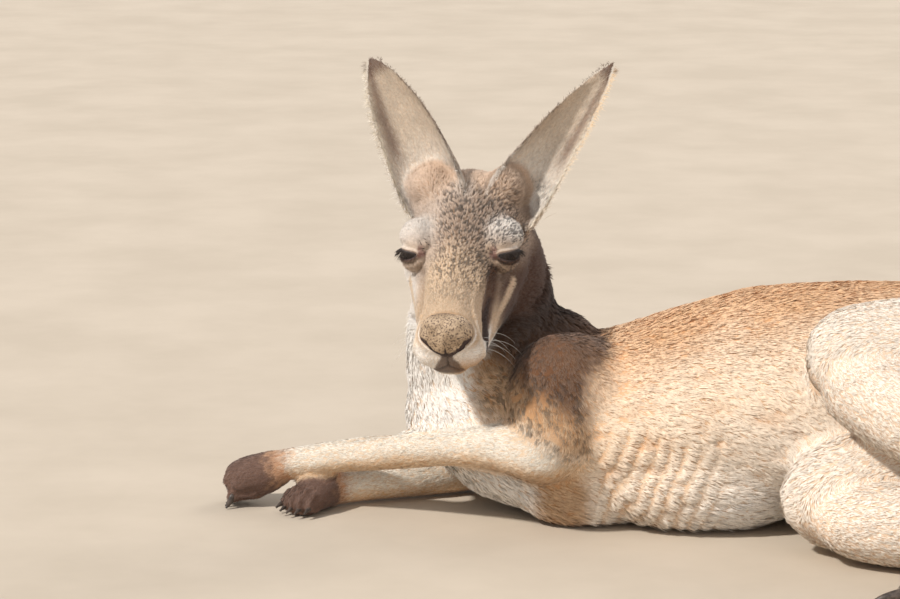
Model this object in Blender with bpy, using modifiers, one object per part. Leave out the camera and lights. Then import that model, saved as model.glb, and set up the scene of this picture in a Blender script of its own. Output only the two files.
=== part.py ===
"""A resting red kangaroo, life size, as closed solids.

The animal lies with its body along X (head end at -X), its left side toward -Y, its head raised
and turned to look along -Y, and its pelvis rolled onto the right hip. Units are metres, Z is up
and the ground is Z = 0. Every solid reaches out to the tips of the coat.

Flesh is made in chains (body, arms, leg segments). Each chain is lofted from sections, joined,
remeshed and thinned; later chains seat against earlier ones with a small gap, and long chains are
parted into named lengths by thin discs.
"""

import math

import bmesh
import bpy
import numpy as np
from mathutils import Euler, Matrix, Vector

GAP = 0.00032            # clearance between neighbouring solids
VOXEL = 0.0058           # remesh cell of the flesh chains
SMOOTH_STEPS = 5
UP = (0.0, 0.0, 1.0)

# ---------------------------------------------------------------- body sections
# centre x, y, z, half width (across), half height
TRUNK = (
    (-0.042, 0.026, 0.104, 0.012, 0.014),
    (-0.036, 0.026, 0.103, 0.036, 0.036),
    (-0.014, 0.026, 0.099, 0.057, 0.052),
    (0.018, 0.024, 0.091, 0.074, 0.063),
    (0.048, 0.022, 0.080, 0.088, 0.074),
    (0.080, 0.020, 0.075, 0.097, 0.079),
    (0.130, 0.018, 0.078, 0.107, 0.082),
    (0.200, 0.014, 0.088, 0.116, 0.094),
    (0.270, 0.008, 0.098, 0.123, 0.104),
    (0.340, 0.002, 0.103, 0.126, 0.107),
    (0.420, 0.000, 0.102, 0.124, 0.106),
    (0.500, 0.002, 0.099, 0.120, 0.103),
    (0.570, 0.008, 0.092, 0.106, 0.096),
    (0.630, 0.016, 0.078, 0.080, 0.082),
    (0.680, 0.024, 0.064, 0.056, 0.062),
    (0.720, 0.028, 0.056, 0.030, 0.034),
)
TAIL = (
    (0.600, 0.012, 0.076, 0.050, 0.058),
    (0.660, 0.022, 0.062, 0.054, 0.058),
    (0.720, 0.032, 0.051, 0.050, 0.053),
    (0.800, 0.046, 0.043, 0.043, 0.046),
    (0.900, 0.060, 0.036, 0.036, 0.039),
    (1.010, 0.064, 0.030, 0.030, 0.033),
    (1.120, 0.052, 0.026, 0.026, 0.029),
    (1.220, 0.026, 0.022, 0.022, 0.025),
    (1.300, -0.008, 0.018, 0.018, 0.021),
    (1.350, -0.038, 0.014, 0.014, 0.017),
    (1.372, -0.054, 0.010, 0.006, 0.009),
)
NECK = (
    (0.088, 0.020, 0.080, 0.050, 0.060),
    (0.066, 0.034, 0.118, 0.058, 0.062),
    (0.046, 0.046, 0.158, 0.056, 0.058),
    (0.036, 0.050, 0.200, 0.054, 0.054),
    (0.026, 0.040, 0.238, 0.048, 0.048),
    (0.018, 0.022, 0.262, 0.030, 0.030),
)
THROAT = (
    (0.024, 0.030, 0.080, 0.044, 0.046),
    (0.010, 0.022, 0.116, 0.052, 0.050),
    (0.006, 0.014, 0.156, 0.048, 0.046),
    (0.010, 0.012, 0.192, 0.040, 0.040),
)
# loose masses: centre x, y, z, radii x, y, z
BODY_MASSES = (
    (0.105, -0.028, 0.104, 0.062, 0.060, 0.068),     # left shoulder blade
    (0.100, 0.062, 0.100, 0.056, 0.052, 0.062),      # right shoulder blade
    (0.095, 0.034, 0.126, 0.046, 0.050, 0.055),      # withers
    (0.118, -0.030, 0.036, 0.072, 0.045, 0.046),     # skin behind the elbow, down on the ground
    (0.220, -0.038, 0.046, 0.110, 0.068, 0.056),     # belly, rolled toward the left side
    (0.560, -0.020, 0.110, 0.090, 0.080, 0.090),     # left side of the pelvis
)

# ---------------------------------------------------------------- head, in its own frame
# x forward, y to the animal's left, z up, origin midway between the eyes
HEAD_AT = Vector((0.009, -0.020, 0.231))
HEAD_SCALE = 1.05
HEAD_YAW, HEAD_PITCH, HEAD_ROLL = (math.radians(a) for a in (-8.0, 16.0, -1.0))
# x, top z, bottom z, half width, narrowing toward the top
HEAD_SECTIONS = (
    (0.1045, -0.016, -0.030, 0.010, 0.00),
    (0.0985, -0.006, -0.046, 0.0220, 0.05),
    (0.0900, -0.001, -0.060, 0.0270, 0.12),
    (0.0770, 0.003, -0.068, 0.0298, 0.20),
    (0.0600, 0.007, -0.070, 0.0305, 0.22),
    (0.0400, 0.014, -0.070, 0.0335, 0.22),
    (0.0200, 0.022, -0.070, 0.0385, 0.22),
    (0.0000, 0.031, -0.071, 0.0440, 0.16),
    (-0.0200, 0.039, -0.072, 0.0485, 0.08),
    (-0.0400, 0.046, -0.070, 0.0520, 0.04),
    (-0.0620, 0.050, -0.062, 0.0510, 0.00),
    (-0.0850, 0.044, -0.050, 0.0440, 0.00),
    (-0.1050, 0.026, -0.034, 0.0300, 0.00),
    (-0.1150, 0.006, -0.016, 0.0120, 0.00),
)
# x, side, z, radii x, y, z; mirrored to both sides
HEAD_MASSES = (
    (-0.006, 0.033, 0.015, 0.025, 0.0135, 0.0135),   # brow
    (-0.030, 0.034, -0.020, 0.034, 0.018, 0.020),    # cheek arch
    (-0.040, 0.030, -0.045, 0.034, 0.020, 0.024),    # jaw muscle
    (0.076, 0.015, -0.044, 0.024, 0.0165, 0.019),    # whisker pad
    (-0.074, 0.034, 0.030, 0.020, 0.017, 0.022),     # ear root
    (-0.060, 0.031, 0.037, 0.020, 0.0185, 0.0185),   # front of the ear root
)
EYE_AT = (0.003, 0.0345, 0.0048)
EYE_RADIUS = 0.0135
NOSE_AT = (0.0935, 0.0, -0.0200)
NOSE_RADII = (0.0140, 0.0215, 0.0165)

# ---------------------------------------------------------------- ears
# root and tip in space, the way the open side faces, largest half width, narrowing toward the tip
EARS = {
    "ear_left": ((0.039, 0.034, 0.256), (0.142, 0.036, 0.394), (0.10, -1.0, 0.05), 0.0290, 0.46),
    "ear_right": ((0.0035, 0.035, 0.259), (-0.069, 0.044, 0.397), (-0.25, -1.0, 0.05), 0.0290, 0.00),
}
# share of length, share of the half width, opening half angle in degrees
EAR_SECTIONS = (
    (0.00, 0.80, 108), (0.10, 0.94, 106), (0.20, 1.00, 101), (0.32, 1.00, 91), (0.44, 0.96, 82),
    (0.56, 0.90, 73), (0.68, 0.80, 66), (0.80, 0.62, 58), (0.89, 0.44, 50), (0.95, 0.28, 43),
    (1.00, 0.12, 34),
)
EAR_THICKNESS = 0.0056

# ---------------------------------------------------------------- arms
# x, y, z, half width, half height
LEFT_ARM = (
    (0.078, -0.040, 0.150, 0.018, 0.018),
    (0.082, -0.048, 0.128, 0.036, 0.034),
    (0.086, -0.060, 0.102, 0.038, 0.034),
    (0.090, -0.072, 0.082, 0.033, 0.031),
    (0.080, -0.074, 0.070, 0.028, 0.028),
    (0.052, -0.064, 0.0735, 0.025, 0.025),
    (0.020, -0.047, 0.073, 0.0220, 0.0228),
    (-0.020, -0.024, 0.066, 0.0200, 0.0205),
    (-0.062, -0.003, 0.056, 0.0175, 0.0180),
    (-0.104, 0.012, 0.048, 0.0158, 0.0160),
    (-0.136, 0.023, 0.041, 0.0152, 0.0155),
    (-0.150, 0.027, 0.0355, 0.0170, 0.0170),
    (-0.165, 0.031, 0.0285, 0.0205, 0.0195),
    (-0.179, 0.033, 0.0235, 0.0225, 0.0200),
    (-0.190, 0.034, 0.0195, 0.0215, 0.0175),
    (-0.1965, 0.035, 0.0165, 0.0120, 0.0100),
)
RIGHT_ARM = (
    (0.088, 0.098, 0.125, 0.016, 0.016),
    (0.086, 0.102, 0.104, 0.032, 0.030),
    (0.078, 0.106, 0.074, 0.034, 0.032),
    (0.066, 0.106, 0.046, 0.031, 0.030),
    (0.050, 0.098, 0.030, 0.028, 0.029),
    (0.028, 0.084, 0.025, 0.0235, 0.0255),
    (-0.004, 0.068, 0.021, 0.0205, 0.0220),
    (-0.040, 0.054, 0.0185, 0.0180, 0.0195),
    (-0.076, 0.040, 0.0170, 0.0160, 0.0178),
    (-0.098, 0.028, 0.0165, 0.0155, 0.0172),
    (-0.110, 0.018, 0.0160, 0.0170, 0.0165),
    (-0.122, 0.006, 0.0140, 0.0200, 0.0150),
    (-0.132, -0.006, 0.0110, 0.0195, 0.0130),
    (-0.138, -0.014, 0.0070, 0.0100, 0.0075),
)

# ---------------------------------------------------------------- legs
LEFT_LEG = {
    "thigh_left": (
        (0.640, -0.028, 0.120, 0.020, 0.030),
        (0.600, -0.046, 0.126, 0.062, 0.074),
        (0.530, -0.074, 0.134, 0.072, 0.084),
        (0.460, -0.094, 0.144, 0.064, 0.076),
        (0.400, -0.108, 0.156, 0.054, 0.064),
        (0.352, -0.120, 0.165, 0.046, 0.052),
        (0.318, -0.128, 0.167, 0.036, 0.042),
        (0.296, -0.132, 0.167, 0.016, 0.022),
    ),
    "shank_left": (
        (0.314, -0.130, 0.156, 0.014, 0.014),
        (0.330, -0.142, 0.150, 0.034, 0.034),
        (0.370, -0.176, 0.134, 0.041, 0.041),
        (0.424, -0.222, 0.112, 0.040, 0.040),
        (0.486, -0.272, 0.088, 0.031, 0.031),
        (0.544, -0.318, 0.066, 0.023, 0.024),
        (0.586, -0.350, 0.050, 0.021, 0.023),
        (0.606, -0.366, 0.040, 0.021, 0.024),
        (0.616, -0.374, 0.034, 0.010, 0.012),
    ),
}
RIGHT_LEG = {
    "thigh_right": (
        (0.600, 0.006, 0.060, 0.020, 0.024),
        (0.560, -0.020, 0.062, 0.056, 0.060),
        (0.500, -0.062, 0.062, 0.064, 0.064),
        (0.430, -0.098, 0.060, 0.058, 0.062),
        (0.370, -0.120, 0.056, 0.050, 0.058),
        (0.326, -0.132, 0.050, 0.042, 0.052),
        (0.296, -0.138, 0.046, 0.032, 0.040),
        (0.276, -0.140, 0.042, 0.014, 0.018),
    ),
    "shank_right": (
        (0.306, -0.150, 0.040, 0.012, 0.012),
        (0.326, -0.164, 0.038, 0.032, 0.032),
        (0.372, -0.184, 0.038, 0.038, 0.038),
        (0.432, -0.204, 0.036, 0.036, 0.036),
        (0.500, -0.222, 0.031, 0.029, 0.030),
        (0.566, -0.238, 0.026, 0.022, 0.024),
        (0.620, -0.252, 0.024, 0.020, 0.022),
        (0.642, -0.258, 0.023, 0.020, 0.021),
        (0.652, -0.262, 0.022, 0.010, 0.011),
    ),
}
# heel, ball and toe tip of each foot on the ground plane
FEET = {
    "foot_left": ((0.622, -0.376), (0.300, -0.452)),
    "foot_right": ((0.662, -0.272), (0.352, -0.306)),
}
# share from heel to toe, side shift, centre height, half width, half height
FOOT_SECTIONS = (
    (-0.02, 0.000, 0.026, 0.010, 0.012),
    (0.01, 0.000, 0.026, 0.020, 0.023),
    (0.07, 0.000, 0.025, 0.023, 0.025),
    (0.18, 0.000, 0.021, 0.0225, 0.0225),
    (0.34, 0.000, 0.018, 0.0220, 0.0195),
    (0.50, 0.000, 0.016, 0.0225, 0.0175),
    (0.62, 0.000, 0.015, 0.0225, 0.0165),
    (0.74, 0.000, 0.0145, 0.0185, 0.0155),
    (0.86, 0.002, 0.0140, 0.0145, 0.0150),
    (0.96, 0.002, 0.0125, 0.0120, 0.0132),
    (0.99, 0.002, 0.0110, 0.0060, 0.0075),
)
# small toes: start share, end share, side shift at start and end, half width; outer, two inner
SMALL_TOES = (
    (0.52, 0.80, 0.016, 0.023, 0.0085),
    (0.48, 0.71, -0.016, -0.0215, 0.0068),
    (0.46, 0.68, -0.020, -0.0310, 0.0062),
)
# toe claws: root share, side shift, height, length, radius
TOE_CLAWS = (
    (0.965, 0.002, 0.0125, 0.034, 0.0062),
    (0.785, 0.0225, 0.0095, 0.020, 0.0040),
    (0.700, -0.0215, 0.0085, 0.016, 0.0030),
    (0.668, -0.0308, 0.0080, 0.014, 0.0028),
)

# ---------------------------------------------------------------- fingers and their claws
# hand centre, way the fingers point, way across the hand (first to last finger)
HANDS = {
    "hand_left": ((-0.187, 0.034, 0.0165), (-0.42, -0.16, -0.80), (0.10, 1.0, -0.10)),
    "hand_right": ((-0.129, -0.002, 0.0110), (-0.62, -0.72, -0.20), (-0.72, 0.66, 0.0)),
}
FINGERS = 5
FINGER_SPREAD = 0.0075
FINGER_LENGTHS = (0.011, 0.0155, 0.017, 0.0155, 0.011)
FINGER_RADIUS = 0.0056
FINGER_CLAW = (0.0115, 0.0028)

# ---------------------------------------------------------------- parting discs
# a point in the chain, the disc's normal, the disc's radius
BODY_CUTS = (
    ((0.172, 0.016, 0.090), (1.0, 0.0, 0.0), 0.30),
    ((0.440, 0.000, 0.100), (1.0, 0.0, 0.0), 0.30),
    ((0.668, 0.024, 0.060), (1.0, 0.16, -0.15), 0.13),
    ((0.900, 0.060, 0.036), (1.0, 0.08, 0.0), 0.10),
    ((1.130, 0.050, 0.026), (1.0, -0.20, 0.0), 0.08),
)
LEFT_ARM_CUTS = (
    ((0.084, -0.072, 0.077), (0.61, 0.00, 0.79), 0.060),
    ((-0.145, 0.0255, 0.038), (0.94, -0.26, 0.22), 0.040),
)
RIGHT_ARM_CUTS = (
    ((0.058, 0.104, 0.040), (0.62, 0.40, 0.68), 0.055),
    ((-0.104, 0.024, 0.0165), (0.72, 0.69, 0.0), 0.040),
)
# a named point near the middle of every length of flesh
BODY_NAMES = {
    "chest": (0.070, 0.020, 0.075), "abdomen": (0.300, 0.005, 0.100), "hips": (0.560, 0.010, 0.100),
    "tail_base": (0.780, 0.044, 0.045), "tail_mid": (1.010, 0.062, 0.030),
    "tail_tip": (1.250, 0.014, 0.020),
}
LEFT_ARM_NAMES = {
    "upper_arm_left": (0.086, -0.060, 0.110), "forearm_left": (-0.040, -0.014, 0.060),
    "hand_left": (-0.180, 0.034, 0.024),
}
RIGHT_ARM_NAMES = {
    "upper_arm_right": (0.080, 0.104, 0.080), "forearm_right": (-0.020, 0.062, 0.020),
    "hand_right": (-0.124, 0.004, 0.013),
}
TRIANGLES = {"head": 1000, "neck": 210, "body": 1100, "arm": 420, "thigh": 180, "shank": 130,
             "foot": 230}

COLOURS = {
    "coat": (0.72, 0.50, 0.30, 1.0), "eye": (0.015, 0.010, 0.008, 1.0),
    "nose": (0.16, 0.11, 0.08, 1.0), "claw": (0.05, 0.04, 0.035, 1.0),
}


def clear_scene():
    for obj in list(bpy.data.objects):
        bpy.data.objects.remove(obj, do_unlink=True)


def unit(vector):
    vector = np.asarray(vector, float)
    return vector / np.linalg.norm(vector)


def smooth_rows(rows, steps):
    """Rows of numbers with more rows between them, on a Catmull-Rom curve."""
    rows = np.asarray(rows, float)
    padded = np.vstack([2 * rows[0] - rows[1], rows, 2 * rows[-1] - rows[-2]])
    out = []
    for i in range(1, len(padded) - 2):
        a, b, c, d = padded[i - 1:i + 3]
        for k in range(steps):
            t = k / steps
            out.append(0.5 * (2 * b + (c - a) * t + (2 * a - 5 * b + 4 * c - d) * t * t
                              + (3 * b - a - 3 * c + d) * t ** 3))
    out.append(rows[-1])
    out = np.array(out)
    out[:, 3:] = np.maximum(out[:, 3:], 0.001)
    return out


def ring_mesh(rings, crescent=False):
    """A closed mesh through rings of equal count, each end closed by a fan, or, where the ring is a
    crescent (one face out, the other back), by a strip between its two faces."""
    rings = np.asarray(rings)
    count, around = rings.shape[:2]
    points = [tuple(p) for ring in rings for p in ring]
    faces = []
    for i in range(count - 1):
        for j in range(around):
            k = (j + 1) % around
            faces.append((i * around + j, i * around + k, (i + 1) * around + k, (i + 1) * around + j))
    start, end, last = count * around, count * around + 1, (count - 1) * around
    if crescent:
        for k in range(around // 2 - 1):
            strip = (k, k + 1, around - 2 - k, around - 1 - k)
            faces += [strip[::-1], tuple(last + i for i in strip)]
        return points, faces
    points += [tuple(rings[0].mean(axis=0)), tuple(rings[-1].mean(axis=0))]
    for j in range(around):
        k = (j + 1) % around
        faces.append((start, k, j))
        faces.append((end, last + j, last + k))
    return points, faces


def tube(rows, around=20, steps=4, up=UP):
    """A limb or trunk: elliptical rings square to the path through the rows."""
    rows = smooth_rows(rows, steps)
    tangents = np.gradient(rows[:, :3], axis=0)
    angles = np.linspace(0, 2 * math.pi, around, endpoint=False)
    rings = []
    for row, tangent in zip(rows, tangents):
        along = unit(tangent)
        side = np.cross(up, along)
        if np.linalg.norm(side) < 0.2:
            side = np.cross((0.0, -1.0, 0.0), along)
        side = unit(side)
        top = np.cross(along, side)
        rings.append([row[:3] + side * row[3] * math.cos(a) + top * row[4] * math.sin(a)
                      for a in angles])
    return ring_mesh(rings)


def steady_tube(rows, side, around=20, steps=4):
    """A tube whose rings keep one given side direction, for paths that stand up."""
    rows = smooth_rows(rows, steps)
    tangents = np.gradient(rows[:, :3], axis=0)
    angles = np.linspace(0, 2 * math.pi, around, endpoint=False)
    rings = []
    for row, tangent in zip(rows, tangents):
        along = unit(tangent)
        across = unit(np.asarray(side) - along * np.dot(side, along))
        top = np.cross(along, across)
        rings.append([row[:3] + across * row[3] * math.cos(a) + top * row[4] * math.sin(a)
                      for a in angles])
    return ring_mesh(rings)


def add_geometry(mesh_builder, points, faces):
    verts = [mesh_builder.verts.new(p) for p in points]
    for face in faces:
        mesh_builder.faces.new([verts[i] for i in face])


def add_ball(mesh_builder, centre, radii, turn=None, segments=24, rings=14):
    matrix = Matrix.Translation(centre) @ (turn or Matrix()) @ Matrix.Diagonal((*radii, 1.0))
    bmesh.ops.create_uvsphere(mesh_builder, u_segments=segments, v_segments=rings, radius=1.0,
                              matrix=matrix)


def finish_builder(name, mesh_builder):
    bmesh.ops.recalc_face_normals(mesh_builder, faces=mesh_builder.faces)
    mesh = bpy.data.meshes.new(name)
    mesh_builder.to_mesh(mesh)
    mesh_builder.free()
    obj = bpy.data.objects.new(name, mesh)
    bpy.context.scene.collection.objects.link(obj)
    return obj


def baked(obj):
    """The object's mesh with its modifiers applied, put back into the object."""
    bpy.context.view_layer.update()
    graph = bpy.context.evaluated_depsgraph_get()
    mesh = bpy.data.meshes.new_from_object(obj.evaluated_get(graph))
    obj.modifiers.clear()
    old, obj.data = obj.data, mesh
    bpy.data.meshes.remove(old)
    return obj


def fused(obj, triangles, voxel=VOXEL, smooth=SMOOTH_STEPS):
    """Overlapping lofts made into one smooth closed mesh of about the given triangle count."""
    remesh = obj.modifiers.new("fuse", "REMESH")
    remesh.mode, remesh.voxel_size = "VOXEL", voxel
    soft = obj.modifiers.new("soften", "SMOOTH")
    soft.factor, soft.iterations = 0.5, smooth
    baked(obj)
    tri = obj.modifiers.new("triangles", "TRIANGULATE")
    tri.quad_method = "SHORTEST_DIAGONAL"
    baked(obj)
    thin = obj.modifiers.new("thin", "DECIMATE")
    thin.ratio = min(1.0, triangles / max(1, len(obj.data.polygons)))
    return baked(obj)


def grown(obj, amount=GAP):
    """A copy of the solid, larger all round by the clearance."""
    copy = bpy.data.objects.new(obj.name + "_room", obj.data.copy())
    bpy.context.scene.collection.objects.link(copy)
    swell = copy.modifiers.new("swell", "DISPLACE")
    swell.strength, swell.mid_level, swell.direction = amount, 0.0, "NORMAL"
    return baked(copy)


def cut(obj, cutters, keep=False):
    """Takes each cutter away from the solid."""
    for cutter in cutters:
        modifier = obj.modifiers.new("cut", "BOOLEAN")
        modifier.operation, modifier.solver, modifier.object = "DIFFERENCE", "EXACT", cutter
        baked(obj)
    if not keep:
        for cutter in cutters:
            bpy.data.objects.remove(cutter, do_unlink=True)
    return obj


def joined(name, objects):
    builder = bmesh.new()
    for obj in objects:
        builder.from_mesh(obj.data)
        bpy.data.objects.remove(obj, do_unlink=True)
    return finish_builder(name, builder)


def disc(point, normal, radius, thickness=GAP):
    turn = Vector(normal).to_track_quat("Z", "Y").to_matrix().to_4x4()
    builder = bmesh.new()
    bmesh.ops.create_cone(builder, cap_ends=True, segments=24, radius1=radius, radius2=radius,
                          depth=thickness, matrix=Matrix.Translation(point) @ turn)
    return finish_builder("disc", builder)


def ground_block():
    builder = bmesh.new()
    bmesh.ops.create_cube(builder, size=1.0, matrix=Matrix.Translation((0.6, 0.0, -0.25))
                          @ Matrix.Diagonal((3.0, 2.4, 0.5, 1.0)))
    return finish_builder("ground_block", builder)


def volume_of(mesh_builder):
    return abs(mesh_builder.calc_volume(signed=True))


def parted(obj, names):
    """The loose bodies of a cut chain, each named for the nearest point; crumbs are dropped."""
    source = bmesh.new()
    source.from_mesh(obj.data)
    bmesh.ops.remove_doubles(source, verts=source.verts, dist=0.000002)
    source.verts.ensure_lookup_table()
    unseen, groups = set(range(len(source.verts))), []
    while unseen:
        group, queue = set(), [unseen.pop()]
        while queue:
            index = queue.pop()
            group.add(index)
            for edge in source.verts[index].link_edges:
                other = edge.other_vert(source.verts[index]).index
                if other in unseen:
                    unseen.discard(other)
                    queue.append(other)
        groups.append(group)
    bodies = []
    for group in groups:
        body = source.copy()
        body.verts.ensure_lookup_table()
        bmesh.ops.delete(body, geom=[v for v in body.verts if v.index not in group],
                         context="VERTS")
        bodies.append((volume_of(body), body))
    bodies.sort(key=lambda item: -item[0])
    result, left = {}, dict(names)
    for volume, body in bodies[:len(names)]:
        points = np.array([v.co[:] for v in body.verts])
        near = min(left, key=lambda n: np.linalg.norm(points - np.array(left[n]), axis=1).min()
                   + 0.4 * np.linalg.norm(points.mean(axis=0) - np.array(left[n])))
        left.pop(near)
        result[near] = finish_builder(near, body)
    for volume, body in bodies[len(names):]:
        body.free()
    source.free()
    bpy.data.objects.remove(obj, do_unlink=True)
    return result


# ---------------------------------------------------------------- head
def head_matrix():
    base = Matrix(((0, 1, 0), (-1, 0, 0), (0, 0, 1)))
    turn = (Matrix.Rotation(HEAD_YAW, 3, "Z") @ Matrix.Rotation(HEAD_PITCH, 3, "X")
            @ Matrix.Rotation(HEAD_ROLL, 3, "Y"))
    return Matrix.Translation(HEAD_AT) @ (turn @ base).to_4x4() @ Matrix.Scale(HEAD_SCALE, 4)


def head_parts(builder):
    place = head_matrix()
    rows = smooth_rows([(x, 0.0, (top + bottom) / 2, width, (top - bottom) / 2, taper)
                        for x, top, bottom, width, taper in HEAD_SECTIONS], 4)
    angles = np.linspace(0, 2 * math.pi, 28, endpoint=False)
    rings = [[place @ Vector((x, width * math.cos(a) * (1 - taper * math.sin(a)),
                              z + height * math.sin(a))) for a in angles]
             for x, _, z, width, height, taper in rows]
    points, faces = ring_mesh(rings)
    add_geometry(builder, points, faces)
    for x, side, z, rx, ry, rz in HEAD_MASSES:
        for sign in (1, -1):
            matrix = place @ Matrix.Translation((x, sign * side, z))
            bmesh.ops.create_uvsphere(builder, u_segments=20, v_segments=12, radius=1.0,
                                      matrix=matrix @ Matrix.Diagonal((rx, ry, rz, 1.0)))


def placed_ball(name, at, radii, segments, rings):
    builder = bmesh.new()
    bmesh.ops.create_uvsphere(builder, u_segments=segments, v_segments=rings, radius=1.0,
                              matrix=head_matrix() @ Matrix.Translation(at)
                              @ Matrix.Diagonal((*radii, 1.0)))
    return finish_builder(name, builder)


def ear(name):
    """A leaf-shaped shell, a deep bowl at its root and opening toward its tip."""
    root, tip, facing, half_width, narrowing = EARS[name]
    root, tip = np.array(root), np.array(tip)
    along = unit(tip - root)
    length = np.linalg.norm(tip - root)
    front = unit(np.array(facing) - along * np.dot(facing, along))
    side = np.cross(along, front)
    rows = smooth_rows([(0, 0, 0) + row for row in EAR_SECTIONS], 1)[:, 3:]
    across, rings = 7, []
    for share, width, half_angle in rows:
        angle = math.radians(half_angle)
        width *= 1 - narrowing * share
        radius = width * half_width / math.sin(min(angle, math.pi / 2))
        back_bow = 0.010 * math.sin(math.pi * share)
        centre = root + along * length * share - front * back_bow
        ring = []
        for sign, offset in ((1, 0.5), (-1, -0.5)):
            for k in range(across):
                v = sign * (2 * k / (across - 1) - 1)
                edge = 0.45 + 0.55 * math.sqrt(max(0.0, 1 - v * v))
                reach = radius + offset * EAR_THICKNESS * edge * min(1.0, 0.35 + 2.2 * width)
                a = angle * v
                ring.append(centre + side * reach * math.sin(a)
                            + front * (radius - reach * math.cos(a)))
        rings.append(ring)
    points, faces = ring_mesh(rings, crescent=True)
    builder = bmesh.new()
    add_geometry(builder, points, faces)
    return finish_builder(name, builder)


# ---------------------------------------------------------------- hands and feet
def finger_root(hand, index):
    centre, ahead, across = (np.array(v, float) for v in HANDS[hand])
    offset = (index - (FINGERS - 1) / 2) * FINGER_SPREAD
    ahead = unit(unit(ahead) + unit(across) * offset * 9.0)
    return centre + unit(across) * offset, ahead


def finger(builder, hand, index):
    root, ahead = finger_root(hand, index)
    reach = FINGER_LENGTHS[index]
    rows = [(*(root + ahead * reach * s), FINGER_RADIUS * r, FINGER_RADIUS * r)
            for s, r in ((-0.5, 0.6), (0.0, 1.0), (0.6, 1.0), (0.95, 0.8), (1.05, 0.3))]
    add_geometry(builder, *tube(rows, around=10, steps=2))


def claw(name, root, ahead, length, radius, droop=0.35):
    """A tapering hook, its root set into the flesh."""
    root, ahead = np.array(root, float), unit(ahead)
    down = np.array((0.0, 0.0, -1.0))
    rows = []
    for s, r in ((-0.30, 0.70), (0.05, 1.0), (0.60, 0.68), (1.0, 0.16)):
        point = root + ahead * length * s + down * droop * length * max(0.0, s) ** 2 * 0.5
        point[2] = max(point[2], radius * r + 0.0010)
        rows.append((*point, radius * r * 0.8, radius * r))
    builder = bmesh.new()
    add_geometry(builder, *tube(rows, around=6, steps=1))
    return finish_builder(name, builder)


def hand_claws(hand):
    claws = []
    for index in range(FINGERS):
        root, ahead = finger_root(hand, index)
        at = root + ahead * FINGER_LENGTHS[index] * 0.80
        length, radius = FINGER_CLAW
        claws.append(claw(f"claw_{hand}_{index + 1}", at, ahead, length, radius))
    return claws


def foot_frame(name):
    heel, toe = (np.array((*p, 0.0)) for p in FEET[name])
    ahead = toe - heel
    length = np.linalg.norm(ahead)
    ahead = ahead / length
    outward = np.cross(ahead, UP) * (-1 if name.endswith("left") else 1)
    return heel, ahead, outward, length


def foot(name):
    heel, ahead, outward, length = foot_frame(name)
    builder = bmesh.new()
    rows = [(*(heel + ahead * length * s + outward * shift + np.array((0, 0, z))), w, h)
            for s, shift, z, w, h in FOOT_SECTIONS]
    add_geometry(builder, *tube(rows, around=18, steps=3))
    for begin, end, shift0, shift1, width in SMALL_TOES:
        toe_rows = []
        for s, r in ((0.0, 0.7), (0.3, 1.0), (0.8, 1.0), (0.97, 0.7), (1.03, 0.3)):
            at = heel + ahead * length * (begin + (end - begin) * s)
            at = at + outward * (shift0 + (shift1 - shift0) * s)
            at[2] = width * 1.0
            toe_rows.append((*at, width * r, width * r * 1.1))
        add_geometry(builder, *tube(toe_rows, around=12, steps=2))
    return fused(finish_builder(name, builder), TRIANGLES["foot"], voxel=0.0036, smooth=3)


def foot_claws(name):
    heel, ahead, outward, length = foot_frame(name)
    claws = []
    for index, (share, shift, height, reach, radius) in enumerate(TOE_CLAWS):
        root = heel + ahead * length * share + outward * shift + np.array((0, 0, height))
        claws.append(claw(f"claw_{name}_{index + 1}", root, ahead, reach, radius, droop=0.5))
    return claws


# ---------------------------------------------------------------- chains
def head_chain():
    builder = bmesh.new()
    head_parts(builder)
    return fused(finish_builder("head", builder), TRIANGLES["head"], voxel=0.0036, smooth=8)


def neck_chain():
    builder = bmesh.new()
    add_geometry(builder, *steady_tube(NECK, (1.0, 0.0, 0.3), around=28))
    add_geometry(builder, *steady_tube(THROAT, (1.0, 0.0, 0.0), around=24))
    return fused(finish_builder("neck", builder), TRIANGLES["neck"])


def body_chain():
    builder = bmesh.new()
    add_geometry(builder, *tube(TRUNK, around=40))
    add_geometry(builder, *tube(TAIL, around=24))
    for x, y, z, rx, ry, rz in BODY_MASSES:
        add_ball(builder, (x, y, z), (rx, ry, rz))
    return fused(finish_builder("body", builder), TRIANGLES["body"])


def arm_chain(name, rows, hand):
    builder = bmesh.new()
    split = 4
    add_geometry(builder, *steady_tube(rows[:split + 1], (1.0, 0.0, 0.0), around=20))
    add_geometry(builder, *tube(rows[split - 1:], around=20))
    for index in range(FINGERS):
        finger(builder, hand, index)
    return fused(finish_builder(name, builder), TRIANGLES["arm"], voxel=0.0040, smooth=3)


def leg_segment(name, rows, triangles):
    builder = bmesh.new()
    add_geometry(builder, *tube(rows, around=26))
    return fused(finish_builder(name, builder), triangles)


def seated(obj, neighbours):
    return cut(obj, [grown(other) for other in neighbours])


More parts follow.
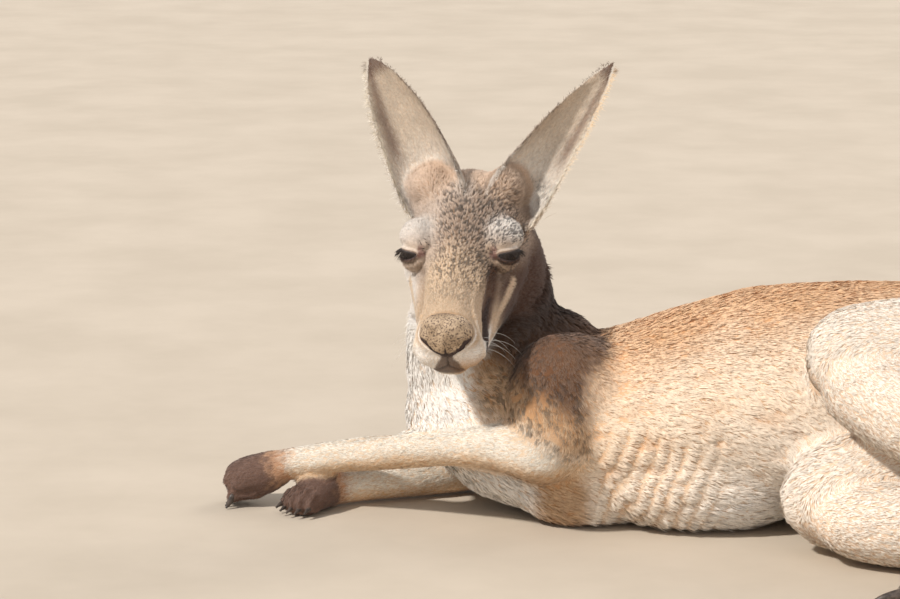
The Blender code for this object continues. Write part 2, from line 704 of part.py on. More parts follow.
def build():
    clear_scene()
    parts = {}
    claws = {name: hand_claws(name) for name in HANDS}
    claws.update({name: foot_claws(name) for name in FEET})

    arm_left = arm_chain("arm_left", LEFT_ARM, "hand_left")
    arm_right = seated(arm_chain("arm_right", RIGHT_ARM, "hand_right"), [arm_left])

    flesh = {}
    for legs in (LEFT_LEG, RIGHT_LEG):
        for name, rows in legs.items():
            kind = name.split("_")[0]
            neighbours = list(flesh.values())
            flesh[name] = seated(leg_segment(name, rows, TRIANGLES[kind]), neighbours)
    for name in FEET:
        flesh[name] = seated(foot(name), list(flesh.values()))

    eyes = [placed_ball(f"eye_{side}", (EYE_AT[0], sign * EYE_AT[1], EYE_AT[2]),
                        (EYE_RADIUS,) * 3, 12, 8) for side, sign in (("left", 1), ("right", -1))]
    nose = placed_ball("nose", NOSE_AT, NOSE_RADII, 14, 10)
    ears = [ear(name) for name in EARS]
    head = head_chain()
    neck = seated(neck_chain(), [head, arm_left, arm_right])
    body = seated(body_chain(), [head, neck, arm_left, arm_right] + list(flesh.values()))
    for ear_solid in ears:
        seated(ear_solid, [head, neck])
        flesh[ear_solid.name] = ear_solid
    seated(head, eyes + [nose])
    flesh.update(head=head, neck=neck)

    for name, group in claws.items():
        owner = {"hand_left": arm_left, "hand_right": arm_right}.get(name) or flesh[name]
        seated(owner, group)

    block = ground_block()
    for obj in [body, arm_left, arm_right] + list(flesh.values()):
        if min(v.co.z for v in obj.data.vertices) < 0.0005:
            cut(obj, [block], keep=True)
    bpy.data.objects.remove(block, do_unlink=True)

    cut(body, [disc(*row) for row in BODY_CUTS])
    cut(arm_left, [disc(*row) for row in LEFT_ARM_CUTS])
    cut(arm_right, [disc(*row) for row in RIGHT_ARM_CUTS])
    parts.update(parted(body, BODY_NAMES))
    parts.update(parted(arm_left, LEFT_ARM_NAMES))
    parts.update(parted(arm_right, RIGHT_ARM_NAMES))
    for name, obj in flesh.items():
        parts.update(parted(obj, {name: tuple(np.mean([v.co[:] for v in obj.data.vertices],
                                                      axis=0))}))
    for obj in eyes + [nose] + [c for group in claws.values() for c in group]:
        parts[obj.name] = obj
    return parts


def slot_of(name):
    for slot in ("eye", "nose", "claw"):
        if name.startswith(slot):
            return slot
    return "coat"


def dress(parts):
    home = bpy.data.collections.new("kangaroo")
    bpy.context.scene.collection.children.link(home)
    materials = {}
    for slot, colour in COLOURS.items():
        material = bpy.data.materials.new(slot)
        material.use_nodes = True
        shader = material.node_tree.nodes["Principled BSDF"]
        shader.inputs["Base Color"].default_value = colour
        shader.inputs["Roughness"].default_value = 0.25 if slot == "eye" else 0.8
        materials[slot] = material
    points = np.array([v.co[:] for obj in parts.values() for v in obj.data.vertices])
    low, high = points.min(axis=0), points.max(axis=0)
    shift = Matrix.Translation((-(low[0] + high[0]) / 2, -(low[1] + high[1]) / 2, -low[2]))
    for name, obj in parts.items():
        obj.data.transform(shift)
        obj.name = obj.data.name = name
        obj.data.materials.clear()
        obj.data.materials.append(materials[slot_of(name)])
        for used in list(obj.users_collection):
            used.objects.unlink(obj)
        home.objects.link(obj)
    print("shift", [round(v, 5) for v in shift.translation], "parts", len(parts),
          "triangles", sum(len(p.vertices) - 2 for o in parts.values() for p in o.data.polygons))


dress(build())
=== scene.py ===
"""Looks of the resting red kangaroo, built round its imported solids.

One skin replaces every node of flesh. It is made from the same sections as the solids and lies
inside them by the depth of the coat. The coat is solid mesh: thin tapering tufts, gathered into
locks, that follow the lie of the fur. Eyes, lids' rims, lashes, whiskers, nose and claws are pieces
of their own.

Shapes are worked out in the animal's drawing frame (ground Z = 0, body along X, face toward -Y) and
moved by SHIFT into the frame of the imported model. Units are metres.
"""

import math
from types import SimpleNamespace

import bmesh
import bpy
import numpy as np
from mathutils import Matrix, Vector, kdtree


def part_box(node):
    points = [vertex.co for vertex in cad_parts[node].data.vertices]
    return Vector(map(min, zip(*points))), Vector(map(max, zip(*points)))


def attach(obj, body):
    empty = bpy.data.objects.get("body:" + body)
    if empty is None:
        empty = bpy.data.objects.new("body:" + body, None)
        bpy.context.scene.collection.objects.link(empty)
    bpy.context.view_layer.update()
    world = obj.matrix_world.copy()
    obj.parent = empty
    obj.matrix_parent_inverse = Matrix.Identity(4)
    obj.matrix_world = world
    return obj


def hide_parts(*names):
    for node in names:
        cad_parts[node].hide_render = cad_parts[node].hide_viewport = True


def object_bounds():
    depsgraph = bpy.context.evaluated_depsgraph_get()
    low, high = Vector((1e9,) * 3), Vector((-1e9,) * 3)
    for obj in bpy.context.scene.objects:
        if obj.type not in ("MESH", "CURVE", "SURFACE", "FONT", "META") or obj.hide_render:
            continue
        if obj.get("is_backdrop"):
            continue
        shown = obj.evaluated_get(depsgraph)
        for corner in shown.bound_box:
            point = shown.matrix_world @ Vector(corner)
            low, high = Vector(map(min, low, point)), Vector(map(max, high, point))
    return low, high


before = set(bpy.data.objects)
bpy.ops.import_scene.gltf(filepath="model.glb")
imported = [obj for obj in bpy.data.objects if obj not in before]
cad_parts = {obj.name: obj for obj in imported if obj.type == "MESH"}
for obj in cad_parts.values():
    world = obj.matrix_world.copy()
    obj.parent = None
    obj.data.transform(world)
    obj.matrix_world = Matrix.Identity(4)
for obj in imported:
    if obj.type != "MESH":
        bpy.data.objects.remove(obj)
CAD_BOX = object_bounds()
RNG = np.random.default_rng(20)
UP = np.array((0.0, 0.0, 1.0))
SHIFT = Vector((0.0, 0.0, 0.0))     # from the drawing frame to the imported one; set by main

# ---------------------------------------------------------------- body sections
# centre x, y, z, half width (across), half height
TRUNK = (
    (-0.042, 0.026, 0.104, 0.012, 0.014),
    (-0.036, 0.026, 0.103, 0.036, 0.036),
    (-0.014, 0.026, 0.099, 0.057, 0.052),
    (0.018, 0.024, 0.091, 0.074, 0.063),
    (0.048, 0.022, 0.080, 0.088, 0.074),
    (0.080, 0.020, 0.075, 0.097, 0.079),
    (0.130, 0.018, 0.078, 0.107, 0.082),
    (0.200, 0.014, 0.088, 0.116, 0.094),
    (0.270, 0.008, 0.098, 0.123, 0.104),
    (0.340, 0.002, 0.103, 0.126, 0.107),
    (0.420, 0.000, 0.102, 0.124, 0.106),
    (0.500, 0.002, 0.099, 0.120, 0.103),
    (0.570, 0.008, 0.092, 0.106, 0.096),
    (0.630, 0.016, 0.078, 0.080, 0.082),
    (0.680, 0.024, 0.064, 0.056, 0.062),
    (0.720, 0.028, 0.056, 0.030, 0.034),
)
TAIL = (
    (0.600, 0.012, 0.076, 0.050, 0.058),
    (0.660, 0.022, 0.062, 0.054, 0.058),
    (0.720, 0.032, 0.051, 0.050, 0.053),
    (0.800, 0.046, 0.043, 0.043, 0.046),
    (0.900, 0.060, 0.036, 0.036, 0.039),
    (1.010, 0.064, 0.030, 0.030, 0.033),
    (1.120, 0.052, 0.026, 0.026, 0.029),
    (1.220, 0.026, 0.022, 0.022, 0.025),
    (1.300, -0.008, 0.018, 0.018, 0.021),
    (1.350, -0.038, 0.014, 0.014, 0.017),
    (1.372, -0.054, 0.010, 0.006, 0.009),
)
NECK = (
    (0.088, 0.020, 0.080, 0.050, 0.060),
    (0.066, 0.034, 0.118, 0.058, 0.062),
    (0.046, 0.046, 0.158, 0.056, 0.058),
    (0.036, 0.050, 0.200, 0.054, 0.054),
    (0.026, 0.040, 0.238, 0.048, 0.048),
    (0.018, 0.022, 0.262, 0.030, 0.030),
)
THROAT = (
    (0.024, 0.030, 0.080, 0.044, 0.046),
    (0.010, 0.022, 0.116, 0.052, 0.050),
    (0.006, 0.014, 0.156, 0.048, 0.046),
    (0.010, 0.012, 0.192, 0.040, 0.040),
)
# loose masses: centre x, y, z, radii x, y, z
BODY_MASSES = (
    (0.105, -0.028, 0.104, 0.062, 0.060, 0.068),     # left shoulder blade
    (0.100, 0.062, 0.100, 0.056, 0.052, 0.062),      # right shoulder blade
    (0.095, 0.034, 0.126, 0.046, 0.050, 0.055),      # withers
    (0.118, -0.030, 0.036, 0.072, 0.045, 0.046),     # skin behind the elbow, down on the ground
    (0.220, -0.038, 0.046, 0.110, 0.068, 0.056),     # belly, rolled toward the left side
    (0.560, -0.020, 0.110, 0.090, 0.080, 0.090),     # left side of the pelvis
)

# ---------------------------------------------------------------- head, in its own frame
# x forward, y to the animal's left, z up, origin midway between the eyes
HEAD_AT = Vector((0.009, -0.020, 0.231))
HEAD_SCALE = 1.05
HEAD_YAW, HEAD_PITCH, HEAD_ROLL = (math.radians(a) for a in (-8.0, 16.0, -1.0))
# x, top z, bottom z, half width, narrowing toward the top
HEAD_SECTIONS = (
    (0.1045, -0.016, -0.030, 0.010, 0.00),
    (0.0985, -0.006, -0.046, 0.0220, 0.05),
    (0.0900, -0.001, -0.060, 0.0270, 0.12),
    (0.0770, 0.003, -0.068, 0.0298, 0.20),
    (0.0600, 0.007, -0.070, 0.0305, 0.22),
    (0.0400, 0.014, -0.070, 0.0335, 0.22),
    (0.0200, 0.022, -0.070, 0.0385, 0.22),
    (0.0000, 0.031, -0.071, 0.0440, 0.16),
    (-0.0200, 0.039, -0.072, 0.0485, 0.08),
    (-0.0400, 0.046, -0.070, 0.0520, 0.04),
    (-0.0620, 0.050, -0.062, 0.0510, 0.00),
    (-0.0850, 0.044, -0.050, 0.0440, 0.00),
    (-0.1050, 0.026, -0.034, 0.0300, 0.00),
    (-0.1150, 0.006, -0.016, 0.0120, 0.00),
)
# x, side, z, radii x, y, z; mirrored to both sides
HEAD_MASSES = (
    (-0.009, 0.0360, 0.0145, 0.027, 0.0160, 0.0145),   # brow
    (-0.030, 0.034, -0.020, 0.034, 0.018, 0.020),    # cheek arch
    (-0.040, 0.030, -0.045, 0.034, 0.020, 0.024),    # jaw muscle
    (0.076, 0.015, -0.044, 0.024, 0.0165, 0.019),    # whisker pad
    (-0.074, 0.034, 0.030, 0.020, 0.017, 0.022),     # ear root
    (-0.060, 0.031, 0.037, 0.020, 0.0185, 0.0185),   # front of the ear root
)
EYE_AT = (0.003, 0.0345, 0.0048)
EYE_RADIUS = 0.0135
NOSE_AT = (0.0935, 0.0, -0.0200)
NOSE_RADII = (0.0140, 0.0215, 0.0165)

# ---------------------------------------------------------------- ears
# root and tip in space, the way the open side faces, largest half width, narrowing toward the tip
EARS = {
    "ear_left": ((0.039, 0.034, 0.256), (0.142, 0.036, 0.394), (0.10, -1.0, 0.05), 0.0290, 0.46),
    "ear_right": ((0.0035, 0.035, 0.259), (-0.069, 0.044, 0.397), (-0.25, -1.0, 0.05), 0.0290, 0.00),
}
# share of length, share of the half width, opening half angle in degrees
EAR_SECTIONS = (
    (0.00, 0.80, 108), (0.10, 0.94, 106), (0.20, 1.00, 101), (0.32, 1.00, 91), (0.44, 0.96, 82),
    (0.56, 0.90, 73), (0.68, 0.80, 66), (0.80, 0.62, 58), (0.89, 0.44, 50), (0.95, 0.28, 43),
    (1.00, 0.12, 34),
)
EAR_THICKNESS = 0.0056

# ---------------------------------------------------------------- arms
ARM_SPLIT = 4                # the rows up to this one are the upper arm
# x, y, z, half width, half height
LEFT_ARM = (
    (0.078, -0.040, 0.150, 0.018, 0.018),
    (0.082, -0.048, 0.128, 0.036, 0.034),
    (0.086, -0.060, 0.102, 0.038, 0.034),
    (0.090, -0.072, 0.082, 0.033, 0.031),
    (0.080, -0.074, 0.070, 0.028, 0.028),
    (0.052, -0.064, 0.0735, 0.025, 0.025),
    (0.020, -0.047, 0.073, 0.0220, 0.0228),
    (-0.020, -0.024, 0.066, 0.0200, 0.0205),
    (-0.062, -0.003, 0.056, 0.0175, 0.0180),
    (-0.104, 0.012, 0.048, 0.0158, 0.0160),
    (-0.136, 0.023, 0.041, 0.0152, 0.0155),
    (-0.150, 0.027, 0.0355, 0.0170, 0.0170),
    (-0.165, 0.031, 0.0285, 0.0205, 0.0195),
    (-0.179, 0.033, 0.0235, 0.0225, 0.0200),
    (-0.190, 0.034, 0.0195, 0.0215, 0.0175),
    (-0.1965, 0.035, 0.0165, 0.0120, 0.0100),
)
RIGHT_ARM = (
    (0.088, 0.098, 0.125, 0.016, 0.016),
    (0.086, 0.102, 0.104, 0.032, 0.030),
    (0.078, 0.106, 0.074, 0.034, 0.032),
    (0.066, 0.106, 0.046, 0.031, 0.030),
    (0.050, 0.098, 0.030, 0.028, 0.029),
    (0.028, 0.084, 0.025, 0.0235, 0.0255),
    (-0.004, 0.068, 0.021, 0.0205, 0.0220),
    (-0.040, 0.054, 0.0185, 0.0180, 0.0195),
    (-0.076, 0.040, 0.0170, 0.0160, 0.0178),
    (-0.098, 0.028, 0.0165, 0.0155, 0.0172),
    (-0.110, 0.018, 0.0160, 0.0170, 0.0165),
    (-0.122, 0.006, 0.0140, 0.0200, 0.0150),
    (-0.132, -0.006, 0.0110, 0.0195, 0.0130),
    (-0.138, -0.014, 0.0070, 0.0100, 0.0075),
)

# ---------------------------------------------------------------- legs
LEFT_LEG = {
    "thigh_left": (
        (0.640, -0.028, 0.120, 0.020, 0.030),
        (0.600, -0.046, 0.126, 0.062, 0.074),
        (0.530, -0.074, 0.134, 0.072, 0.084),
        (0.460, -0.094, 0.144, 0.064, 0.076),
        (0.400, -0.108, 0.156, 0.054, 0.064),
        (0.352, -0.120, 0.165, 0.046, 0.052),
        (0.318, -0.128, 0.167, 0.036, 0.042),
        (0.296, -0.132, 0.167, 0.016, 0.022),
    ),
    "shank_left": (
        (0.314, -0.130, 0.156, 0.014, 0.014),
        (0.330, -0.142, 0.150, 0.034, 0.034),
        (0.370, -0.176, 0.134, 0.041, 0.041),
        (0.424, -0.222, 0.112, 0.040, 0.040),
        (0.486, -0.272, 0.088, 0.031, 0.031),
        (0.544, -0.318, 0.066, 0.023, 0.024),
        (0.586, -0.350, 0.050, 0.021, 0.023),
        (0.606, -0.366, 0.040, 0.021, 0.024),
        (0.616, -0.374, 0.034, 0.010, 0.012),
    ),
}
RIGHT_LEG = {
    "thigh_right": (
        (0.600, 0.006, 0.060, 0.020, 0.024),
        (0.560, -0.020, 0.062, 0.056, 0.060),
        (0.500, -0.062, 0.062, 0.064, 0.064),
        (0.430, -0.098, 0.060, 0.058, 0.062),
        (0.370, -0.120, 0.056, 0.050, 0.058),
        (0.326, -0.132, 0.050, 0.042, 0.052),
        (0.296, -0.138, 0.046, 0.032, 0.040),
        (0.276, -0.140, 0.042, 0.014, 0.018),
    ),
    "shank_right": (
        (0.306, -0.150, 0.040, 0.012, 0.012),
        (0.326, -0.164, 0.038, 0.032, 0.032),
        (0.372, -0.184, 0.038, 0.038, 0.038),
        (0.432, -0.204, 0.036, 0.036, 0.036),
        (0.500, -0.222, 0.031, 0.029, 0.030),
        (0.566, -0.238, 0.026, 0.022, 0.024),
        (0.620, -0.252, 0.024, 0.020, 0.022),
        (0.642, -0.258, 0.023, 0.020, 0.021),
        (0.652, -0.262, 0.022, 0.010, 0.011),
    ),
}
# heel and toe tip of each foot on the ground plane
FEET = {
    "foot_left": ((0.622, -0.376), (0.300, -0.452)),
    "foot_right": ((0.662, -0.272), (0.352, -0.306)),
}
# share from heel to toe, side shift, centre height, half width, half height
FOOT_SECTIONS = (
    (-0.02, 0.000, 0.026, 0.010, 0.012),
    (0.01, 0.000, 0.026, 0.020, 0.023),
    (0.07, 0.000, 0.025, 0.023, 0.025),
    (0.18, 0.000, 0.021, 0.0225, 0.0225),
    (0.34, 0.000, 0.018, 0.0220, 0.0195),
    (0.50, 0.000, 0.016, 0.0225, 0.0175),
    (0.62, 0.000, 0.015, 0.0225, 0.0165),
    (0.74, 0.000, 0.0145, 0.0185, 0.0155),
    (0.86, 0.002, 0.0140, 0.0145, 0.0150),
    (0.96, 0.002, 0.0125, 0.0120, 0.0132),
    (0.99, 0.002, 0.0110, 0.0060, 0.0075),
)
# small toes: start share, end share, side shift at start and end, half width; outer, two inner
SMALL_TOES = (
    (0.52, 0.80, 0.016, 0.023, 0.0085),
    (0.48, 0.71, -0.016, -0.0215, 0.0068),
    (0.46, 0.68, -0.020, -0.0310, 0.0062),
)
# share of a small toe's length, share of its half width
TOE_FORM = ((0.0, 0.7), (0.3, 1.0), (0.8, 1.0), (0.97, 0.7), (1.03, 0.3))
# toe claws: root share, side shift, height, length, radius
TOE_CLAWS = (
    (0.965, 0.002, 0.0125, 0.034, 0.0062),
    (0.785, 0.0225, 0.0095, 0.020, 0.0040),
    (0.700, -0.0215, 0.0085, 0.016, 0.0030),
    (0.668, -0.0308, 0.0080, 0.014, 0.0028),
)

# ---------------------------------------------------------------- fingers and their claws
# hand centre, way the fingers point, way across the hand (first to last finger)
HANDS = {
    "hand_left": ((-0.187, 0.034, 0.0165), (-0.42, -0.16, -0.80), (0.10, 1.0, -0.10)),
    "hand_right": ((-0.129, -0.002, 0.0110), (-0.62, -0.72, -0.20), (-0.72, 0.66, 0.0)),
}
FINGERS = 5
FINGER_SPREAD = 0.0075
FINGER_FAN = 9.0             # the fingers' spacing grows by this share for each metre ahead
FINGER_LENGTHS = (0.011, 0.0155, 0.017, 0.0155, 0.011)
FINGER_RADIUS = 0.0056
FINGER_CLAW = (0.0115, 0.0028)       # length, radius
# share of the length, share of the radius
FINGER_FORM = ((-0.5, 0.6), (0.0, 1.0), (0.6, 1.0), (0.95, 0.8), (1.05, 0.3))
CLAW_FORM = ((-0.30, 0.70), (0.05, 1.0), (0.60, 0.68), (1.0, 0.16))


# ---------------------------------------------------------------- small helpers
def unit(vectors):
    vectors = np.asarray(vectors, float)
    return vectors / np.maximum(np.linalg.norm(vectors, axis=-1, keepdims=True), 1e-12)


def ramp(value, low, high):
    """0 below low, 1 above high, with soft ends; low may be the larger one."""
    t = np.clip((value - low) / (high - low), 0.0, 1.0)
    return t * t * (3 - 2 * t)


def bump(value, centre, half_width):
    """1 at the centre, falling softly to 0 at the half width."""
    return ramp(np.abs(value - centre), half_width, 0.0)


def mix(a, b, share):
    """Rows of a and b mixed, with a share for each row."""
    share = np.asarray(share)[..., None]
    return np.asarray(a) * (1 - share) + np.asarray(b) * share


def mix_value(a, b, share):
    """The same where a row is one number."""
    return a * (1 - share) + b * share


def turned(first, second, angle):
    """Directions turned from the first toward the second, with an angle for each row."""
    return first * np.cos(angle)[:, None] + second * np.sin(angle)[:, None]


def round_angles(count):
    return np.linspace(0, 2 * math.pi, count, endpoint=False)


def dot(a, b):
    return np.einsum("...i,...i->...", a, b)


def squared_gaps(points, others):
    """Squared distances from each point to each of the others."""
    return dot(points, points)[:, None] + dot(others, others) - 2 * points @ others.T


def noise(points, size, seed=0):
    """Smooth noise from -1 to 1, with one lattice point every size metres."""
    q = points / size + 1000.0 + seed * 7.31
    cell = np.floor(q).astype(np.uint64)
    part = q - np.floor(q)
    part = part * part * (3 - 2 * part)
    total = np.zeros(len(points))
    for corner in range(8):
        step = np.array([(corner >> k) & 1 for k in range(3)], np.uint64)
        at = cell + step
        mixed = (at[:, 0] * np.uint64(73856093)) ^ (at[:, 1] * np.uint64(19349663))
        mixed ^= at[:, 2] * np.uint64(83492791)
        mixed ^= np.uint64(seed * 40503 + 977)
        mixed = (mixed ^ (mixed >> np.uint64(13))) * np.uint64(1274126177)
        mixed ^= mixed >> np.uint64(16)
        value = (mixed & np.uint64(0xFFFF)).astype(float) / 32767.5 - 1.0
        share = np.where(step.astype(bool), part, 1 - part).prod(axis=1)
        total += value * share
    return total


# ---------------------------------------------------------------- paths and lofts
def smooth_rows(rows, steps):
    """Rows of numbers with more rows between them, on a Catmull-Rom curve."""
    rows = np.asarray(rows, float)
    padded = np.vstack([2 * rows[0] - rows[1], rows, 2 * rows[-1] - rows[-2]])
    out = []
    for i in range(1, len(padded) - 2):
        a, b, c, d = padded[i - 1:i + 3]
        for k in range(steps):
            t = k / steps
            out.append(0.5 * (2 * b + (c - a) * t + (2 * a - 5 * b + 4 * c - d) * t * t
                              + (3 * b - a - 3 * c + d) * t ** 3))
    out.append(rows[-1])
    out = np.array(out)
    out[:, 3:] = np.maximum(out[:, 3:], 0.001)
    return out


def path_of(rows, steps=6, side=None):
    """A centreline with its own directions (along, across, top) and half sizes at every step."""
    rows = smooth_rows(rows, steps)
    along = unit(np.gradient(rows[:, :3], axis=0))
    if side is None:
        across = np.cross(UP, along)
        upright = np.linalg.norm(across, axis=1) < 0.2
        across[upright] = np.cross((0.0, -1.0, 0.0), along[upright])
    else:
        across = np.asarray(side) - along * (along @ np.asarray(side))[:, None]
    across = unit(across)
    return SimpleNamespace(centre=rows[:, :3], along=along, across=across,
                           top=np.cross(along, across), wide=rows[:, 3], high=rows[:, 4])


def rings_of(path, around):
    angles = round_angles(around)
    cos, sin = np.cos(angles)[None, :, None], np.sin(angles)[None, :, None]
    return (path.centre[:, None] + path.across[:, None] * path.wide[:, None, None] * cos
            + path.top[:, None] * path.high[:, None, None] * sin)


def strip_faces(count, around, closed=False):
    """Four-sided faces between rings; closed joins the last ring to the first."""
    faces = []
    for i in range(count if closed else count - 1):
        low, high = i * around, (i + 1) % count * around
        for j in range(around):
            k = (j + 1) % around
            faces.append((low + j, low + k, high + k, high + j))
    return faces


def cap_faces(count, around):
    """Fans from two end points, which follow the rings' own points."""
    start, end, last = count * around, count * around + 1, (count - 1) * around
    faces = []
    for j in range(around):
        k = (j + 1) % around
        faces += [(start, k, j), (end, last + j, last + k)]
    return faces


def ball_points(rings, around):
    """A unit ball: one ring fewer than asked for, from low to high, then the two poles."""
    lat = np.linspace(-math.pi / 2, math.pi / 2, rings + 1)[1:-1]
    lon = round_angles(around)
    grid = np.stack([np.cos(lat)[:, None] * np.cos(lon), np.cos(lat)[:, None] * np.sin(lon),
                     np.sin(lat)[:, None] * np.ones_like(lon)], axis=2)
    return np.vstack([grid.reshape(-1, 3), ((0, 0, -1.0), (0, 0, 1.0))])


def linked(obj):
    """The object, put into the scene."""
    bpy.context.scene.collection.objects.link(obj)
    return obj


class Loft:
    """Gathers closed shapes as plain points and faces."""

    def __init__(self):
        self.points, self.faces = [], []

    def add(self, points, faces):
        start = sum(len(p) for p in self.points)
        self.points.append(np.asarray(points, float))
        self.faces += [tuple(i + start for i in face) for face in faces]

    def rings(self, rings, closed_by_strip=False):
        """A closed shape through rings of equal count. A crescent ring is closed by a strip."""
        count, around = rings.shape[:2]
        faces = strip_faces(count, around)
        points, last = rings.reshape(-1, 3), (count - 1) * around
        if closed_by_strip:
            for k in range(around // 2 - 1):
                strip = (k, k + 1, around - 2 - k, around - 1 - k)
                faces += [strip[::-1], tuple(last + i for i in strip)]
        else:
            points = np.vstack([points, rings[0].mean(axis=0), rings[-1].mean(axis=0)])
            faces += cap_faces(count, around)
        self.add(points, faces)

    def ball(self, matrix, radii, segments=24, rings=14):
        """An ellipsoid placed by a matrix."""
        turn, move = np.array(matrix)[:3, :3], np.array(matrix)[:3, 3]
        points = ball_points(rings, segments) * radii @ turn.T + move
        self.add(points, strip_faces(rings - 1, segments) + cap_faces(rings - 1, segments))

    def object(self, name):
        mesh = bpy.data.meshes.new(name)
        mesh.from_pydata(np.vstack(self.points).tolist(), [], self.faces)
        mesh.update()
        return linked(bpy.data.objects.new(name, mesh))


# ---------------------------------------------------------------- places on the animal
def head_matrix():
    base = Matrix(((0, 1, 0), (-1, 0, 0), (0, 0, 1)))
    turn = (Matrix.Rotation(HEAD_YAW, 3, "Z") @ Matrix.Rotation(HEAD_PITCH, 3, "X")
            @ Matrix.Rotation(HEAD_ROLL, 3, "Y"))
    return Matrix.Translation(HEAD_AT) @ (turn @ base).to_4x4() @ Matrix.Scale(HEAD_SCALE, 4)


HEAD = np.array(head_matrix())
HEAD_INVERSE = np.linalg.inv(HEAD)


def to_head(points):
    return points @ HEAD_INVERSE[:3, :3].T + HEAD_INVERSE[:3, 3]


def from_head(points):
    return np.asarray(points) @ HEAD[:3, :3].T + HEAD[:3, 3]


def head_turn(vectors):
    """Directions of the head's own frame, in the animal's."""
    return np.asarray(vectors, float) @ (HEAD[:3, :3] / HEAD_SCALE).T


def head_rows():
    return smooth_rows([(x, 0.0, (top + bottom) / 2, width, (top - bottom) / 2, taper)
                        for x, top, bottom, width, taper in HEAD_SECTIONS], 5)


def head_rings(around=32):
    angles = round_angles(around)
    rings = []
    for x, _, z, width, height, taper in head_rows():
        half = width * np.cos(angles) * (1 - taper * np.sin(angles))
        rings.append(from_head(np.stack([np.full(around, x), half, z + height * np.sin(angles)],
                                        axis=1)))
    return np.array(rings)


def head_path():
    rows = head_rows()
    count = len(rows)
    frames = head_turn(((-1, 0, 0), (0, 1, 0), (0, 0, 1)))
    return SimpleNamespace(centre=from_head(rows[:, :3]), along=np.tile(frames[0], (count, 1)),
                           across=np.tile(frames[1], (count, 1)), top=np.tile(frames[2], (count, 1)),
                           wide=rows[:, 3] * HEAD_SCALE, high=rows[:, 4] * HEAD_SCALE)


def ear_frame(name):
    """An ear's root, the ways along, to its open side and across, its length and half width."""
    root, tip, facing, half_width, _ = EARS[name]
    root, tip = np.array(root), np.array(tip)
    along = unit(tip - root)
    front = unit(np.array(facing) - along * np.dot(facing, along))
    return root, along, front, np.cross(along, front), np.linalg.norm(tip - root), half_width


def ear_sheet(name, share, v, offset=0.0):
    """Points of the ear's shell: share along it, v from edge to edge (-1 to 1), offset outward."""
    root, along, front, side, length, half_width = ear_frame(name)
    table = np.array(EAR_SECTIONS, float)
    width = np.interp(share, table[:, 0], table[:, 1]) * (1 - EARS[name][4] * share)
    angle = np.radians(np.interp(share, table[:, 0], table[:, 2]))
    radius = width * half_width / np.sin(np.minimum(angle, math.pi / 2))
    bow = 0.010 * np.sin(math.pi * share)
    centre = root + along * (length * share)[..., None] - front * bow[..., None]
    reach = (radius + offset)[..., None]
    turn = (angle * v)[..., None]
    return centre + side * reach * np.sin(turn) + front * (radius[..., None] - reach * np.cos(turn))


def ear_rings(name, across=13, steps=40):
    """Crescent rings: the outer face one way, the inner face back."""
    rings = []
    for share in np.linspace(0, 1, steps):
        width = np.interp(share, [r[0] for r in EAR_SECTIONS], [r[1] for r in EAR_SECTIONS])
        ring = []
        for sign, half in ((1, 0.5), (-1, -0.5)):
            v = sign * np.linspace(-1, 1, across)
            edge = 0.45 + 0.55 * np.sqrt(np.maximum(0.0, 1 - v * v))
            offset = half * EAR_THICKNESS * edge * min(1.0, 0.35 + 2.2 * width)
            ring.append(ear_sheet(name, np.full(across, share), v, offset))
        rings.append(np.vstack(ring))
    return np.array(rings)


def finger_root(hand, index):
    """Where one finger starts, and the way it points."""
    centre, ahead, across = (np.array(v, float) for v in HANDS[hand])
    offset = (index - (FINGERS - 1) / 2) * FINGER_SPREAD
    ahead = unit(unit(ahead) + unit(across) * offset * FINGER_FAN)
    return centre + unit(across) * offset, ahead


def foot_frame(name):
    """The heel on the ground, the ways ahead and outward, and the foot's length."""
    heel, toe = (np.array((*p, 0.0)) for p in FEET[name])
    length = np.linalg.norm(toe - heel)
    ahead = (toe - heel) / length
    outward = np.cross(ahead, UP) * (-1 if name.endswith("left") else 1)
    return heel, ahead, outward, length


def foot_rows(name):
    """A foot's sections, laid from heel to toe."""
    heel, ahead, outward, length = foot_frame(name)
    return [(*(heel + ahead * length * s + outward * shift + UP * z), w, h)
            for s, shift, z, w, h in FOOT_SECTIONS]


def toe_rows(name):
    """The sections of each small toe in turn."""
    heel, ahead, outward, length = foot_frame(name)
    for begin, end, shift0, shift1, width in SMALL_TOES:
        rows = []
        for s, r in TOE_FORM:
            at = (heel + ahead * length * (begin + (end - begin) * s)
                  + outward * (shift0 + (shift1 - shift0) * s) + UP * width)
            rows.append((*at, width * r, width * r * 1.1))
        yield rows


PATHS = {
    "trunk": path_of(TRUNK), "tail": path_of(TAIL),
    "neck": path_of(NECK, side=(1.0, 0.0, 0.3)), "throat": path_of(THROAT, side=(1.0, 0.0, 0.0)),
    "head": head_path(),
    "arm_left": path_of(LEFT_ARM), "arm_right": path_of(RIGHT_ARM),
    **{name: path_of(rows) for legs in (LEFT_LEG, RIGHT_LEG) for name, rows in legs.items()},
    **{name: path_of(foot_rows(name)) for name in FEET},
}
EAR_GRIDS = {name: np.meshgrid(np.linspace(0, 1, 48), np.linspace(-1, 1, 25), indexing="ij")
             for name in EARS}


